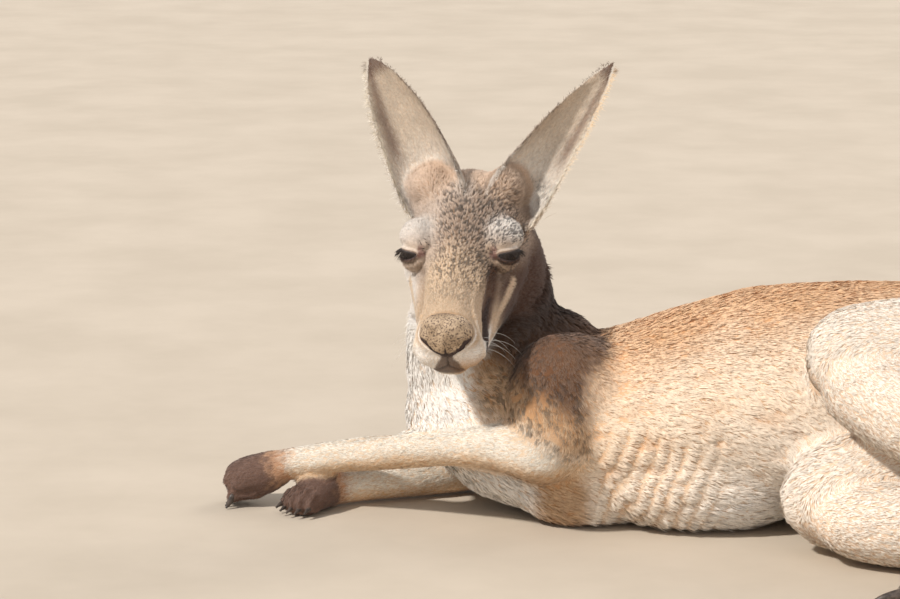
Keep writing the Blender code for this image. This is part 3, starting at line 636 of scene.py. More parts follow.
def flesh_lofts():
    """Every section of flesh as overlapping closed shapes."""
    loft = Loft()
    for name, path in PATHS.items():
        if name not in ("head", "arm_left", "arm_right"):
            loft.rings(rings_of(path, 40 if name == "trunk" else 28))
    for rows in (LEFT_ARM, RIGHT_ARM):
        loft.rings(rings_of(path_of(rows[:ARM_SPLIT + 1], side=(1.0, 0.0, 0.0)), 28))
        loft.rings(rings_of(path_of(rows[ARM_SPLIT - 1:]), 28))
    loft.rings(head_rings())
    for x, side, z, rx, ry, rz in HEAD_MASSES:
        for sign in (1, -1):
            loft.ball(HEAD @ np.array(Matrix.Translation((x, sign * side, z))), (rx, ry, rz))
    for x, y, z, rx, ry, rz in BODY_MASSES:
        loft.ball(Matrix.Translation((x, y, z)), (rx, ry, rz), 32, 18)
    for name in EARS:
        loft.rings(ear_rings(name), closed_by_strip=True)
    for hand in HANDS:
        for index in range(FINGERS):
            root, ahead = finger_root(hand, index)
            rows = [(*(root + ahead * FINGER_LENGTHS[index] * s), FINGER_RADIUS * r, FINGER_RADIUS * r)
                    for s, r in FINGER_FORM]
            loft.rings(rings_of(path_of(rows), 14))
    for name in FEET:
        for rows in toe_rows(name):
            loft.rings(rings_of(path_of(rows), 16))
    return loft.object("flesh")


# ---------------------------------------------------------------- which part a point belongs to
REGIONS = tuple(PATHS) + tuple(EARS)
INDEX = {name: i for i, name in enumerate(REGIONS)}
HARDNESS = 14.0              # how sharply neighbouring regions part
EAR_FAR = 9.0                # reach of the points that are nowhere near an ear
EAR_SKIN = 0.0034            # this far from an ear's shell is one unit of reach
BATCH = 20000                # points measured against an ear at a time


class Places:
    """For each point: its share of every region, and its place along and round each path."""

    def __init__(self, points):
        shape = (len(points), len(REGIONS))
        reach = np.zeros(shape)
        self.points = points
        self.t, self.turn, self.flow = np.zeros(shape), np.zeros(shape), np.zeros((*shape, 3))
        for name, path in PATHS.items():
            reach[:, INDEX[name]] = self.reach_from(path, INDEX[name])
        local = to_head(points)
        jaw = ramp(local[:, 2], -0.092, -0.072) * ramp(local[:, 0], -0.125, -0.095)
        reach[:, INDEX["head"]] -= 0.34 * jaw * (np.abs(local[:, 1]) < 0.08)
        self.ear = {}
        for name, (share, v) in EAR_GRIDS.items():
            k = INDEX[name]
            self.ear[name] = EarPlace(name, points, share.ravel(), v.ravel())
            reach[:, k] = self.ear[name].reach
            self.t[:, k] = self.ear[name].share
            self.flow[:, k] = ear_frame(name)[1]
        least = reach.min(axis=1, keepdims=True)
        share = np.exp(-(reach - least) * HARDNESS)
        self.share = share / share.sum(axis=1, keepdims=True)
        self.main = reach.argmin(axis=1)

    def reach_from(self, path, k):
        """How far out from a path each point is, in its half sizes; fills in column k as well."""
        size = np.maximum((path.wide + path.high) / 2, 0.006)
        gap = squared_gaps(self.points, path.centre)
        near = (np.sqrt(np.maximum(gap, 0)) - 0.6 * size).argmin(axis=1)
        away = self.points - path.centre[near]
        side = dot(away, path.across[near]) / path.wide[near]
        top = dot(away, path.top[near]) / path.high[near]
        over = dot(away, path.along[near]) / size[near]
        over = np.sign(over) * np.maximum(np.abs(over) - 0.35, 0)
        self.t[:, k] = near / (len(path.centre) - 1)
        self.turn[:, k] = np.arctan2(top, side)
        self.flow[:, k] = path.along[near]
        return np.sqrt(side ** 2 + top ** 2 + over ** 2)

    def part(self, *names):
        return sum(self.share[:, INDEX[name]] for name in names)

    def along(self, name):
        return self.t[:, INDEX[name]]


class EarPlace:
    """Place on an ear's shell: share along it, v across it, and whether it is on the open side."""

    def __init__(self, name, points, share, v):
        sheet = ear_sheet(name, share, v)
        above = ear_sheet(name, share, v, offset=0.001)
        low, high = sheet.min(axis=0) - 0.012, sheet.max(axis=0) + 0.012
        close = np.flatnonzero(((points > low) & (points < high)).all(axis=1))
        self.share, self.v = np.zeros(len(points)), np.zeros(len(points))
        self.inside, self.reach = np.zeros(len(points)), np.full(len(points), EAR_FAR)
        if not len(close):
            return
        near = np.zeros(len(close), int)
        for start in range(0, len(close), BATCH):
            some = points[close[start:start + BATCH]]
            near[start:start + BATCH] = squared_gaps(some, sheet).argmin(axis=1)
        away = points[close] - sheet[near]
        outward = unit(above - sheet)[near]
        height = dot(away, outward)
        self.share[close], self.v[close] = share[near], v[near]
        self.inside[close] = ramp(height, 0.0006, -0.0006)
        self.reach[close] = (np.linalg.norm(away, axis=1) / EAR_SKIN
                             + 1.6 * ramp(share[near], 0.10, 0.0))


# ---------------------------------------------------------------- the skin
CELL = 0.0023                # cell of the skin's first mesh
SKIN_DEPTH = {               # how far the skin lies under the tips of the coat
    "trunk": 0.0054, "tail": 0.0040, "neck": 0.0056, "throat": 0.0058, "head": 0.0015,
    "arm_left": 0.0022, "arm_right": 0.0022, "thigh_left": 0.0036, "thigh_right": 0.0040,
    "shank_left": 0.0030, "shank_right": 0.0030, "foot_left": 0.0014, "foot_right": 0.0014,
    "ear_left": 0.0014, "ear_right": 0.0014,
}
HAND_DEPTH = 0.0011          # the same for the hands
# smoothing steps of the first mesh; MOST_SMOOTHING in the other regions
SMOOTHING = {"head": 14, "ear_left": 2, "ear_right": 2, "arm_left": 9, "arm_right": 9,
             "foot_left": 5, "foot_right": 5}
MOST_SMOOTHING = 26
BODY_RATIO = 0.172           # share of the faces that stay where the coat is long


def baked(obj):
    """The object with its modifiers applied."""
    bpy.context.view_layer.update()
    graph = bpy.context.evaluated_depsgraph_get()
    mesh = bpy.data.meshes.new_from_object(obj.evaluated_get(graph))
    obj.modifiers.clear()
    old, obj.data = obj.data, mesh
    bpy.data.meshes.remove(old)
    return obj


def read_out(items, key, width, kind=np.float32):
    """One property of all a mesh's items, as rows."""
    rows = np.empty(len(items) * width, kind)
    items.foreach_get(key, rows)
    return rows.reshape(-1, width)


def mesh_points(mesh):
    return read_out(mesh.vertices, "co", 3).astype(float)


def mesh_normals(mesh):
    return read_out(mesh.vertices, "normal", 3).astype(float)


def set_points(mesh, points):
    mesh.vertices.foreach_set("co", np.asarray(points, np.float32).ravel())
    mesh.update()


class Net:
    """The edges of a mesh, for smoothing values over it."""

    def __init__(self, mesh):
        edges = read_out(mesh.edges, "vertices", 2, np.int32)
        self.ends = np.concatenate([edges, edges[:, ::-1]])
        self.count = len(mesh.vertices)
        self.links = np.maximum(np.bincount(self.ends[:, 0], minlength=self.count), 1)

    def mean(self, values):
        flat = values.reshape(self.count, -1)
        total = np.stack([np.bincount(self.ends[:, 0], column[self.ends[:, 1]], self.count)
                          for column in flat.T], axis=1)
        return (total / self.links[:, None]).reshape(values.shape)

    def soften(self, values, steps, weight=0.5):
        """values after a number of smoothing steps; steps may differ from point to point."""
        steps = np.broadcast_to(steps, (self.count,))
        for step in range(int(steps.max())):
            share = np.clip(steps - step, 0, 1) * weight
            share = share.reshape(-1, *([1] * (values.ndim - 1)))
            values = values + (self.mean(values) - values) * share
        return values


def by_region(places, table, other):
    """A value for each point, from each region's own; other stands for regions not in the table."""
    return sum(places.share[:, i] * table.get(name, other) for i, name in enumerate(REGIONS))


def first_skin():
    """The flesh as one closed mesh, smoothed, and drawn in by the coat's depth."""
    obj = flesh_lofts()
    fuse = obj.modifiers.new("fuse", "REMESH")
    fuse.mode, fuse.voxel_size = "VOXEL", CELL
    baked(obj)
    points = mesh_points(obj.data)
    net = Net(obj.data)
    places = Places(points)
    steps = by_region(places, SMOOTHING, MOST_SMOOTHING)
    points = net.soften(points, mix_value(steps, 3.0, np.clip(hand_share(places), 0, 1)))
    set_points(obj.data, points)
    depth = net.soften(coat_depth(places, points), 6)
    points = points - mesh_normals(obj.data) * depth[:, None]
    points = net.soften(points, 2)
    floor = 0.0012 + 0.0030 * ramp(depth, 0.002, 0.006)
    points[:, 2] = np.maximum(points[:, 2], floor)
    set_points(obj.data, points)
    return thinned(obj, places)


def coat_depth(places, points):
    """How far the skin is drawn in: less on the hands, more behind and under the face."""
    depth = mix_value(by_region(places, SKIN_DEPTH, 0.004), HAND_DEPTH, hand_share(places))
    local = to_head(points)
    behind = ramp(local[:, 0], -0.02, -0.09) * places.part("head")
    under = ramp(local[:, 2], -0.040, -0.066) * ramp(local[:, 0], 0.07, 0.01) * places.part("head")
    return depth + 0.0016 * behind + 0.0014 * under


def hand_share(places):
    """How much each point belongs to a hand: the last part of an arm."""
    left = ramp(places.along("arm_left"), 0.70, 0.77) * places.part("arm_left")
    right = ramp(places.along("arm_right"), 0.70, 0.78) * places.part("arm_right")
    return left + right


def thinned(obj, places):
    """Fewer faces where the coat is long; face, ears, hands and the flank's folds keep theirs."""
    keep = places.part("head", "ear_left", "ear_right") + hand_share(places)
    keep += 0.7 * fold_mask(places.points)
    keep -= 0.6 * places.part("head") * ramp(to_head(places.points)[:, 0], -0.05, -0.08)
    keep = np.clip(keep, 0, 1)
    group = obj.vertex_groups.new(name="thin")
    for level in range(11):
        chosen = np.flatnonzero(np.round((1 - keep) * 10) == level)
        if len(chosen):
            group.add(chosen.tolist(), level / 10, "REPLACE")
    thin = obj.modifiers.new("thin", "DECIMATE")
    thin.ratio, thin.vertex_group, thin.vertex_group_factor = BODY_RATIO, "thin", 1.0
    return baked(obj)


# ---------------------------------------------------------------- folds and dimples of the body
FOLD_STEP = 0.0135           # from one fold of the belly's skin to the next
FOLD_HEIGHT = 0.0007
FOLD_SLANT = 0.30            # how far a fold leans back for its height
DIMPLE_SIZE = 0.0100
DIMPLE_DEPTH = 0.0017
FOREARM_GROOVES = ((0.35, 0.0007), (1.10, 0.0013))   # angle round the arm, depth


def fold_mask(points):
    """Where the loose skin of the flank lies in upright folds, behind the elbow."""
    mask = ramp(points[:, 0], 0.110, 0.135) * ramp(points[:, 0], 0.250, 0.190)
    return mask * ramp(points[:, 2], 0.105, 0.070) * ramp(points[:, 1], 0.020, -0.030)


def fold_wave(points):
    """From -1 in a crease to 1 on a ridge."""
    way = points[:, 0] - FOLD_SLANT * points[:, 2] + 0.0085 * noise(points, 0.030, 31)
    return np.sin(way * (2 * math.pi / FOLD_STEP))


def dimples(points):
    """0 to 1: the small soft hollows between the coat's locks."""
    stretched = points * (0.62, 1.0, 1.0)
    return ramp(noise(stretched, DIMPLE_SIZE, 32) + 0.35 * noise(points, 0.005, 33), 0.10, 0.75)


def finger_place(points, hand):
    """Place across the hand in fingers (0 is the first), and metres ahead of its centre."""
    centre, ahead, across = (np.array(v, float) for v in HANDS[hand])
    away = points - centre
    forward = away @ unit(ahead)
    fan = 1 + FINGER_FAN * np.maximum(forward, 0)
    return away @ unit(across) / (FINGER_SPREAD * fan) + (FINGERS - 1) / 2, forward


def sculpt_body(obj):
    """Folds behind the elbow, dimples in the woolly parts, grooves of forearm and hand."""
    points, normals = mesh_points(obj.data), mesh_normals(obj.data)
    places = Places(points)
    move = FOLD_HEIGHT * fold_mask(points) * fold_wave(points)
    woolly = places.part("trunk", "neck", "throat") + 0.5 * places.part("tail")
    move -= DIMPLE_DEPTH * woolly * dimples(points)
    move += 0.0012 * noise(points, 0.030, 34) * places.part("trunk")
    arm, t = places.part("arm_left"), places.along("arm_left")
    turn = places.turn[:, INDEX["arm_left"]]
    length = ramp(t, 0.32, 0.42) * ramp(t, 0.68, 0.58)
    for angle, depth in FOREARM_GROOVES:
        move -= depth * arm * length * bump(turn + 0.25 * np.sin(t * 22), angle, 0.30)
    for hand in HANDS:
        index, forward = finger_place(points, hand)
        near = ramp(np.abs(index - 2), 3.1, 2.7) * ramp(forward, -0.010, -0.001)
        near *= np.clip(hand_share(places), 0, 1) * (np.abs(forward) < 0.04)
        ridge = np.cos(2 * math.pi * index)
        move += near * (0.0009 * ridge - 0.0008)
        knuckle = bump(forward, 0.001, 0.006) + 0.8 * bump(forward, 0.012, 0.005)
        move += 0.0010 * near * knuckle * ramp(ridge, -0.2, 0.8)
    set_points(obj.data, points + normals * move[:, None])


# ---------------------------------------------------------------- the face, in the head's frame
LID = 0.0009                 # lids' thickness over the eyeball
SOCKET_REACH = 0.0240        # the lids' form fades out this far from the eye's centre
SLIT_HALF = 61.0             # half width of the opening, degrees round the ball
SLIT_LEVEL, SLIT_TILT = 18.0, 17.0   # height of its middle line, and how much higher the inner corner is
SLIT_RISE, SLIT_DROP = 17.0, 18.0    # its edges above and below that line, at the middle
BACK_OF_BALL = 0.84          # the skin in the opening lies this share of the ball's radius deep

# features as lines through places on the left side; each place also has a half width
CREST = (((-0.078, 0.0005, 0.050), 0.0030), ((-0.055, -0.0012, 0.049), 0.0022),
         ((-0.035, 0.0010, 0.044), 0.0019), ((-0.015, 0.0022, 0.037), 0.0018),
         ((0.004, 0.0010, 0.030), 0.0016), ((0.014, 0.0002, 0.025), 0.0012))
BRIDGE_EDGE = (((0.028, 0.0207, 0.006), 0.0038), ((0.042, 0.0205, -0.002), 0.0040),
               ((0.063, 0.0180, -0.006), 0.0040), ((0.078, 0.0200, -0.014), 0.0040))
SIDE_HOLLOW = (((0.022, 0.0300, -0.004), 0.0080), ((0.038, 0.0280, -0.015), 0.0100),
               ((0.058, 0.0265, -0.022), 0.0085), ((0.078, 0.0285, -0.031), 0.0050))
MOUTH = (((0.0965, 0.000, -0.0500), 0.0022), ((0.0925, 0.0120, -0.0545), 0.0024),
         ((0.0840, 0.0215, -0.0570), 0.0026), ((0.0660, 0.0285, -0.0550), 0.0028),
         ((0.0460, 0.0325, -0.0500), 0.0028), ((0.0330, 0.0350, -0.0450), 0.0024))
PHILTRUM = (((0.1010, 0.000, -0.0380), 0.0016), ((0.0965, 0.000, -0.0500), 0.0018))
JAW_CREASE = (((0.020, 0.035, -0.050), 0.0032), ((0.000, 0.042, -0.054), 0.0042),
              ((-0.020, 0.050, -0.054), 0.0048), ((-0.040, 0.055, -0.048), 0.0048),
              ((-0.060, 0.053, -0.034), 0.0036))
WHISKER_PAD = (((0.088, 0.0225, -0.036), 0.0080), ((0.070, 0.029, -0.037), 0.0085))
NOSE_SIDE = (((0.077, 0.0205, -0.0145), 0.0030), ((0.0848, 0.0240, -0.0232), 0.0036),
             ((0.0885, 0.0265, -0.0330), 0.0040), ((0.0850, 0.0270, -0.0440), 0.0036))
BROW_BUMP = ((0.0120, 0.0255, 0.0185), 0.0056)
CHEEK_BONE = (((-0.004, 0.046, -0.008), 0.008), ((-0.030, 0.052, -0.012), 0.010))
# how far each line is raised over the skin; a negative height is sunk
FACE_FORMS = (
    (BRIDGE_EDGE, 0.0014), (SIDE_HOLLOW, -0.0042), (WHISKER_PAD, 0.0014), (NOSE_SIDE, 0.0013),
    (CHEEK_BONE, 0.0012), (MOUTH, -0.0024), (PHILTRUM, -0.0022), (JAW_CREASE, -0.0024),
)
NOSE_DROP = 1.20             # the nose pad's lower half is this much taller than its upper half
NOSE_NARROW = 0.30           # and narrows by this share toward the lip


def nose_place(local):
    """Places in the nose pad's own measure: 1 away from the centre is its rim."""
    away = (local - np.array(NOSE_AT)) / np.array(NOSE_RADII)
    away[:, 2] /= np.where(away[:, 2] < 0, NOSE_DROP, 1.0)
    away[:, 1] /= 1 - NOSE_NARROW * ramp(away[:, 2], -0.10, -0.95)
    return away


def mirrored(local):
    """The same places, brought to the left side."""
    return local * (1, 0, 1) + np.abs(local) * (0, 1, 0)


def line_mask(places, line):
    """1 on the line, falling to 0 at its half width."""
    spots, widths = np.array([p for p, _ in line]), [w for _, w in line]
    gap = np.full(len(places), np.inf)
    for a, b, wide_a, wide_b in zip(spots[:-1], spots[1:], widths[:-1], widths[1:]):
        step = b - a
        t = np.clip(((places - a) @ step) / (step @ step), 0, 1)
        away = np.linalg.norm(places - a - t[:, None] * step, axis=1)
        gap = np.minimum(gap, away / (wide_a + (wide_b - wide_a) * t))
    return ramp(gap, 1.0, 0.0)


def spot_mask(places, spot):
    centre, radius = spot
    return ramp(np.linalg.norm(places - np.array(centre), axis=1) / radius, 1.0, 0.0)


def snapped(line, surface):
    """The line's places moved onto the nearest points of the surface."""
    return tuple((tuple(surface[np.linalg.norm(surface - np.array(p), axis=1).argmin()]), w)
                 for p, w in line)


def eye_axes(sign):
    """The eye's own directions: out of the head, toward the nose, and up."""
    out = unit((0.56, sign * 0.83, -0.02))
    ahead = unit(np.array((0.83, -sign * 0.56, -0.14)))
    ahead = unit(ahead - out * (ahead @ out))
    up = np.cross(ahead, out) * -sign
    return out, ahead, up if up[2] > 0 else -up


def eye_centre(sign):
    return np.array((EYE_AT[0], sign * EYE_AT[1], EYE_AT[2]))


def from_eye(local):
    """Metres from the centre of the nearer eye."""
    return np.linalg.norm(mirrored(local) - eye_centre(1), axis=1)


def slit_edges(s):
    """Upper and lower edge of the opening, in degrees; s runs from -1 (outer) to 1 (inner)."""
    arch = np.maximum(1 - s * s, 0)
    level = SLIT_LEVEL + SLIT_TILT * s
    return level + SLIT_RISE * arch ** 0.62, level - SLIT_DROP * arch ** 0.60


def round_eye(local, sign):
    """Place round one eye: s along the opening, degrees over its upper and under its lower edge,
    degrees from the way the eye looks, and metres from its centre."""
    out, ahead, up = eye_axes(sign)
    away = local - eye_centre(sign)
    distance = np.linalg.norm(away, axis=1)
    ray = away / np.maximum(distance, 1e-9)[:, None]
    s = np.degrees(np.arctan2(ray @ ahead, ray @ out)) / SLIT_HALF
    height = np.degrees(np.arcsin(np.clip(ray @ up, -1, 1)))
    top, low = slit_edges(np.clip(s, -1, 1))
    facing = np.degrees(np.arccos(np.clip(ray @ out, -1, 1)))
    return SimpleNamespace(s=s, over=height - top, under=low - height, facing=facing,
                           distance=distance, ray=ray)


def lid_form(local, sign):
    """Where the skin goes round one eye, and how strongly."""
    eye = round_eye(local, sign)
    inside = (np.abs(eye.s) < 1) & (eye.over < 0) & (eye.under < 0)
    between = ramp(np.abs(eye.s), 1.30, 1.05)
    # both lids have a round rim; the upper one runs out into the brow, the lower has a crease
    lid = LID + 0.0007 * bump(eye.over, 5.0, 9.0) * between
    lid += 0.0006 * bump(eye.under, 4.0, 7.0) * between
    lid -= 0.0008 * bump(eye.under, 18.0, 9.0) * between
    goal = np.where(inside, EYE_RADIUS * BACK_OF_BALL, EYE_RADIUS + lid)
    pull = ramp(eye.facing, 92, 52) * ramp(eye.distance, SOCKET_REACH, 0.0160)
    pull *= 1 - 0.92 * ramp(eye.over, 9, 30)
    pull = np.where(eye.distance < goal, ramp(eye.facing, 112, 84), pull)
    return eye_centre(sign) + eye.ray * goal[:, None], pull


def refined(obj, levels):
    """Cuts every edge of the chosen places in half, once for each level."""
    for inside, steps in levels:
        builder = bmesh.new()
        builder.from_mesh(obj.data)
        points = np.array([v.co[:] for v in builder.verts])
        chosen = inside(points)
        edges = [e for e in builder.edges if chosen[e.verts[0].index] and chosen[e.verts[1].index]]
        bmesh.ops.subdivide_edges(builder, edges=edges, cuts=1, use_grid_fill=True)
        bmesh.ops.triangulate(builder, faces=[f for f in builder.faces if len(f.verts) > 4])
        builder.to_mesh(obj.data)
        builder.free()
        obj.data.update()
        points = mesh_points(obj.data)
        near = inside(points).astype(float)
        set_points(obj.data, Net(obj.data).soften(points, near * steps))
    return obj


def on_face(points):
    """Eyes, bridge and muzzle, where the lids, the mouth and the nose need a fine mesh."""
    local = to_head(points)
    side = mirrored(local)
    near_eye = from_eye(local) < 0.0245
    muzzle = (local[:, 0] > 0.056) & (np.abs(local[:, 1]) < 0.06) & (np.abs(local[:, 2]) < 0.09)
    top = (local[:, 0] > -0.060) & (side[:, 1] < 0.007) & (local[:, 2] > 0.0)
    return (near_eye | muzzle | (top & (local[:, 2] < 0.08))) & (np.abs(local[:, 0]) < 0.12)


def on_features(points):
    """The lids and the front of the muzzle, which need the finest mesh."""
    local = to_head(points)
    side = mirrored(local)
    near_eye = from_eye(local) < 0.0188
    near_eye &= side @ np.array((0.56, 0.83, 0.0)) > 0.020
    muzzle = (local[:, 0] > 0.086) & (local[:, 2] > -0.060) & (np.abs(local[:, 1]) < 0.026)
    return near_eye | muzzle


def on_hands(points):
    """The hands, from the knuckles on."""
    found = np.zeros(len(points), bool)
    for hand in HANDS:
        _, forward = finger_place(points, hand)
        away = np.linalg.norm(points - np.array(HANDS[hand][0]), axis=1)
        found |= (away < 0.034) & (forward > -0.008)
    return found


def sculpt_face(obj):
    """Lids, creases, the bridge's edges, whisker pads, mouth and nose bed."""
    points = mesh_points(obj.data)
    local = to_head(points)
    near = ((local[:, 0] > -0.10) & (local[:, 0] < 0.13) & (np.abs(local[:, 1]) < 0.075)
            & (np.abs(local[:, 2]) < 0.09))
    normals = mesh_normals(obj.data) @ HEAD[:3, :3] / HEAD_SCALE
    side = mirrored(local)
    surface = side[near]
    move = np.zeros(len(points))
    move -= 0.0020 * line_mask(local, snapped(CREST, local[near]))
    for line, height in FACE_FORMS:
        move += height * line_mask(side, snapped(line, surface))
    move += 0.0022 * spot_mask(side, snapped((BROW_BUMP,), surface)[0])
    corner = ramp(local[:, 2], -0.040, -0.060) * ramp(side[:, 1], 0.006, 0.020)
    corner *= ramp(local[:, 0], 0.050, 0.080)
    move -= 0.0048 * corner
    # the bed of the nose is drawn back, so that its rim stands out at the sides and below
    bed = ramp(np.linalg.norm(nose_place(local), axis=1), 1.10, 0.95) * ramp(local[:, 0], 0.084, 0.092)
    move -= 0.0042 * bed
    # soft wrinkles over the brow and beside the bridge
    fold = noise(local * (1.0, 1.0, 2.2), 0.010, 3) * ramp(local[:, 0], -0.08, 0.0)
    pebble = noise(local, 0.0042, 13) * ramp(local[:, 0], -0.06, -0.03) * ramp(local[:, 0], 0.080, 0.06)
    move += 0.0005 * fold + 0.0004 * pebble * ramp(local[:, 2], -0.010, 0.0)
    local = local + normals * (move * near)[:, None]
    for sign in (1, -1):
        goal, pull = lid_form(local, sign)
        local = mix(local, goal, pull * near)
    moved = points.copy()
    moved[near] = from_head(local[near])
    set_points(obj.data, moved)


# ---------------------------------------------------------------- markings, painted light and painted shade, shared by skin and coat
GINGER = (0.75, 0.440, 0.220)
# painted shade: a deeper ginger for the hollows between locks, partly the under-fur and partly the shade
# that falls there
GINGER_UNDERFUR_AND_SHADE = (0.66, 0.350, 0.150)
FLANK = (0.90, 0.735, 0.560)
CREAM = (0.91, 0.815, 0.700)
WHITE = (0.88, 0.835, 0.775)
TAN = (0.56, 0.370, 0.215)
# dark brown of the shoulder, deepened by painted shade of the head's shadow
SHOULDER_BROWN_AND_SHADE = (0.165, 0.086, 0.045)
# painted shade: the neck's brown painted nearly black, in the head's shadow
NECK_SHADE = (0.045, 0.023, 0.014)
ARM = (0.80, 0.735, 0.630)
ARM_UNDER = (0.78, 0.580, 0.380)
WRIST = (0.50, 0.290, 0.170)
HAND = (0.160, 0.090, 0.064)
FOREHEAD = (0.38, 0.275, 0.200)
# painted light: a paler forehead for the animal's right half, where the light falls
FOREHEAD_PAINTED_LIGHT = (0.53, 0.415, 0.330)
CROWN = (0.64, 0.460, 0.330)
BRIDGE = (0.61, 0.455, 0.310)
BROW = (0.74, 0.665, 0.590)
# painted shade: the cheek on the animal's left, painted dark brown
CHEEK_PAINTED_SHADE = (0.095, 0.048, 0.030)
# painted shade: the dark side plane of the muzzle
SIDE_PLANE_SHADE = (0.105, 0.050, 0.030)
STREAK = (0.040, 0.020, 0.014)
STRIPE = (0.70, 0.540, 0.380)
LIP = (0.095, 0.052, 0.034)
CHIN = (0.66, 0.430, 0.250)
EAR_IN = (0.68, 0.575, 0.460)
EAR_BASE = (0.84, 0.775, 0.690)
EAR_BACK = (0.52, 0.370, 0.255)
EAR_TIP = (0.13, 0.070, 0.052)
EAR_EDGE = (0.90, 0.815, 0.680)
EAR_DARK = (0.15, 0.090, 0.065)
FOOT = (0.50, 0.360, 0.250)
TAIL_TOP = (0.58, 0.370, 0.220)
TAIL_TIP = (0.30, 0.20, 0.14)
THIGH = (0.90, 0.805, 0.690)
TOES = (0.16, 0.105, 0.08)
SOLE = (0.13, 0.09, 0.075)
# painted shade: the creases between the flank's folds
FOLD_CREASE_SHADE = (0.70, 0.470, 0.270)
FAR_CHEEK = (0.80, 0.735, 0.665)
FAR_JAW = (0.72, 0.600, 0.490)
MUZZLE_PAD = (0.78, 0.680, 0.560)
UPPER_LID = (0.66, 0.580, 0.500)
EYE_CORNER = (0.30, 0.150, 0.120)
# painted shade along the crease of the forehead's crest
CREST_CREASE_SHADE = (0.11, 0.055, 0.032)
# painted shade along the jaw's crease
JAW_CREASE_SHADE = (0.13, 0.070, 0.045)
# painted shade in the ear's channel beside its pale edge
EAR_CHANNEL_SHADE = (0.20, 0.115, 0.080)
EAR_RIDGE = (0.30, 0.215, 0.140)
LEFT_FRINGE = (0.78, 0.600, 0.400)
UNDER_COAT = (0.84, 0.70, 0.58)      # the skin's colour under the coat, as a share of the coat's
ROOT_TINT = (0.97, 0.88, 0.78)       # the colour of a tuft's root, as a share of its middle's

# bands and spots of the face, in the head's frame, on the left side
# painted shade: the band of the muzzle's dark side plane
SIDE_SHADE_BAND = (((0.020, 0.0290, -0.002), 0.0100), ((0.036, 0.0275, -0.014), 0.0125),
             ((0.056, 0.0265, -0.023), 0.0105), ((0.074, 0.0280, -0.032), 0.0070),
             ((0.080, 0.0280, -0.046), 0.0045))
DARK_STREAK = (((0.036, 0.0280, -0.017), 0.0030), ((0.055, 0.0262, -0.0240), 0.0048),
               ((0.069, 0.0280, -0.0300), 0.0050), ((0.079, 0.0295, -0.0370), 0.0046),
               ((0.080, 0.0285, -0.0470), 0.0034))
PALE_STRIPE = (((0.002, 0.0425, -0.0190), 0.0062), ((0.017, 0.0385, -0.0268), 0.0060),
               ((0.033, 0.0345, -0.0325), 0.0058), ((0.046, 0.0318, -0.0395), 0.0054),
               ((0.062, 0.0305, -0.0440), 0.0050), ((0.074, 0.0290, -0.0510), 0.0046))
UNDER_EYE = (((0.018, 0.036, -0.008), 0.0060), ((0.006, 0.043, -0.008), 0.0060),
             ((-0.006, 0.0465, -0.004), 0.0045))
CROWN_SPOT = ((-0.058, 0.022, 0.044), 0.036)
BROW_SPOT = ((-0.008, 0.038, 0.018), 0.0260)


def bib(points):
    """The white throat and front of the chest: the side that looks away from the body."""
    edge = points[:, 0] - 0.019 + 0.004 * noise(points, 0.02, 14)
    return ramp(edge, 0.006, -0.006)


def above_elbow(points):
    """Height over the line where the dark shoulder, its brown deepened by painted shade, gives way to the
    pale arm; it falls backward.
    """
    return points[:, 2] - (0.104 - 0.50 * (points[:, 0] - 0.026))


def trunk_colour(points, places):
    """Ginger back, paler flank, cream belly; the body rolls onto its right side toward the hips. The
    shoulder's brown is deepened by painted shade, the creases between the flank's folds are painted
    shade, and the hollows between locks are a deeper ginger, partly under-fur and partly painted shade.
    """
    path, k = PATHS["trunk"], INDEX["trunk"]
    at = places.t[:, k] * (len(path.centre) - 1)
    centre = path.centre[np.clip(at.astype(int), 0, len(path.centre) - 1)]
    roll = np.radians(4 + 44 * ramp(points[:, 0], 0.12, 0.58))
    away = points - centre
    back = away[:, 1] * np.sin(roll) + away[:, 2] * np.cos(roll)
    back = back / 0.105 + 0.16 * noise(points, 0.07, 5) + 0.07 * noise(points, 0.02, 6)
    x, z = points[:, 0], points[:, 2]
    colour = mix(CREAM, FLANK, ramp(back, -0.75, 0.05))
    colour = mix(colour, GINGER, ramp(back, 0.05, 0.90) * 0.95)
    colour = mix(colour, WHITE, ramp(back, -0.55, -1.0))
    # painted shade: hollows between locks turn a deeper ginger, partly under-fur, partly shade
    colour = mix(colour, GINGER_UNDERFUR_AND_SHADE, (0.42 * dimples(points)) * ramp(back, -0.9, 0.1))
    # painted shade in the creases between the folds
    crease = fold_mask(points) * ramp(fold_wave(points), 0.1, -0.8)
    colour = mix(colour, FOLD_CREASE_SHADE, 0.50 * crease)
    edge = x + 0.004 * noise(points, 0.015, 15) - 0.036 * ramp(z, 0.12, 0.19)
    fore = ramp(edge, 0.120, 0.106)
    high = above_elbow(points) + 0.010 * noise(points, 0.03, 16)
    # painted shade: the shoulder turns dark brown upward, its own colour deepened by the head's shadow
    dark = mix(TAN, SHOULDER_BROWN_AND_SHADE, ramp(high, 0.030, 0.062))
    colour = mix(colour, dark, fore * ramp(high, -0.002, 0.016))
    low = fore * ramp(high, 0.004, -0.010)
    colour = mix(colour, mix(WHITE, TAN, ramp(x, 0.062, 0.078)), low)
    return mix(colour, WHITE, bib(points))


def line_tint(colour, places, line, tint, gain, most, share=1.0):
    """The colour, with a tint laid along a line of the face."""
    return mix(colour, tint, np.clip(gain * line_mask(places, line), 0, most) * share)


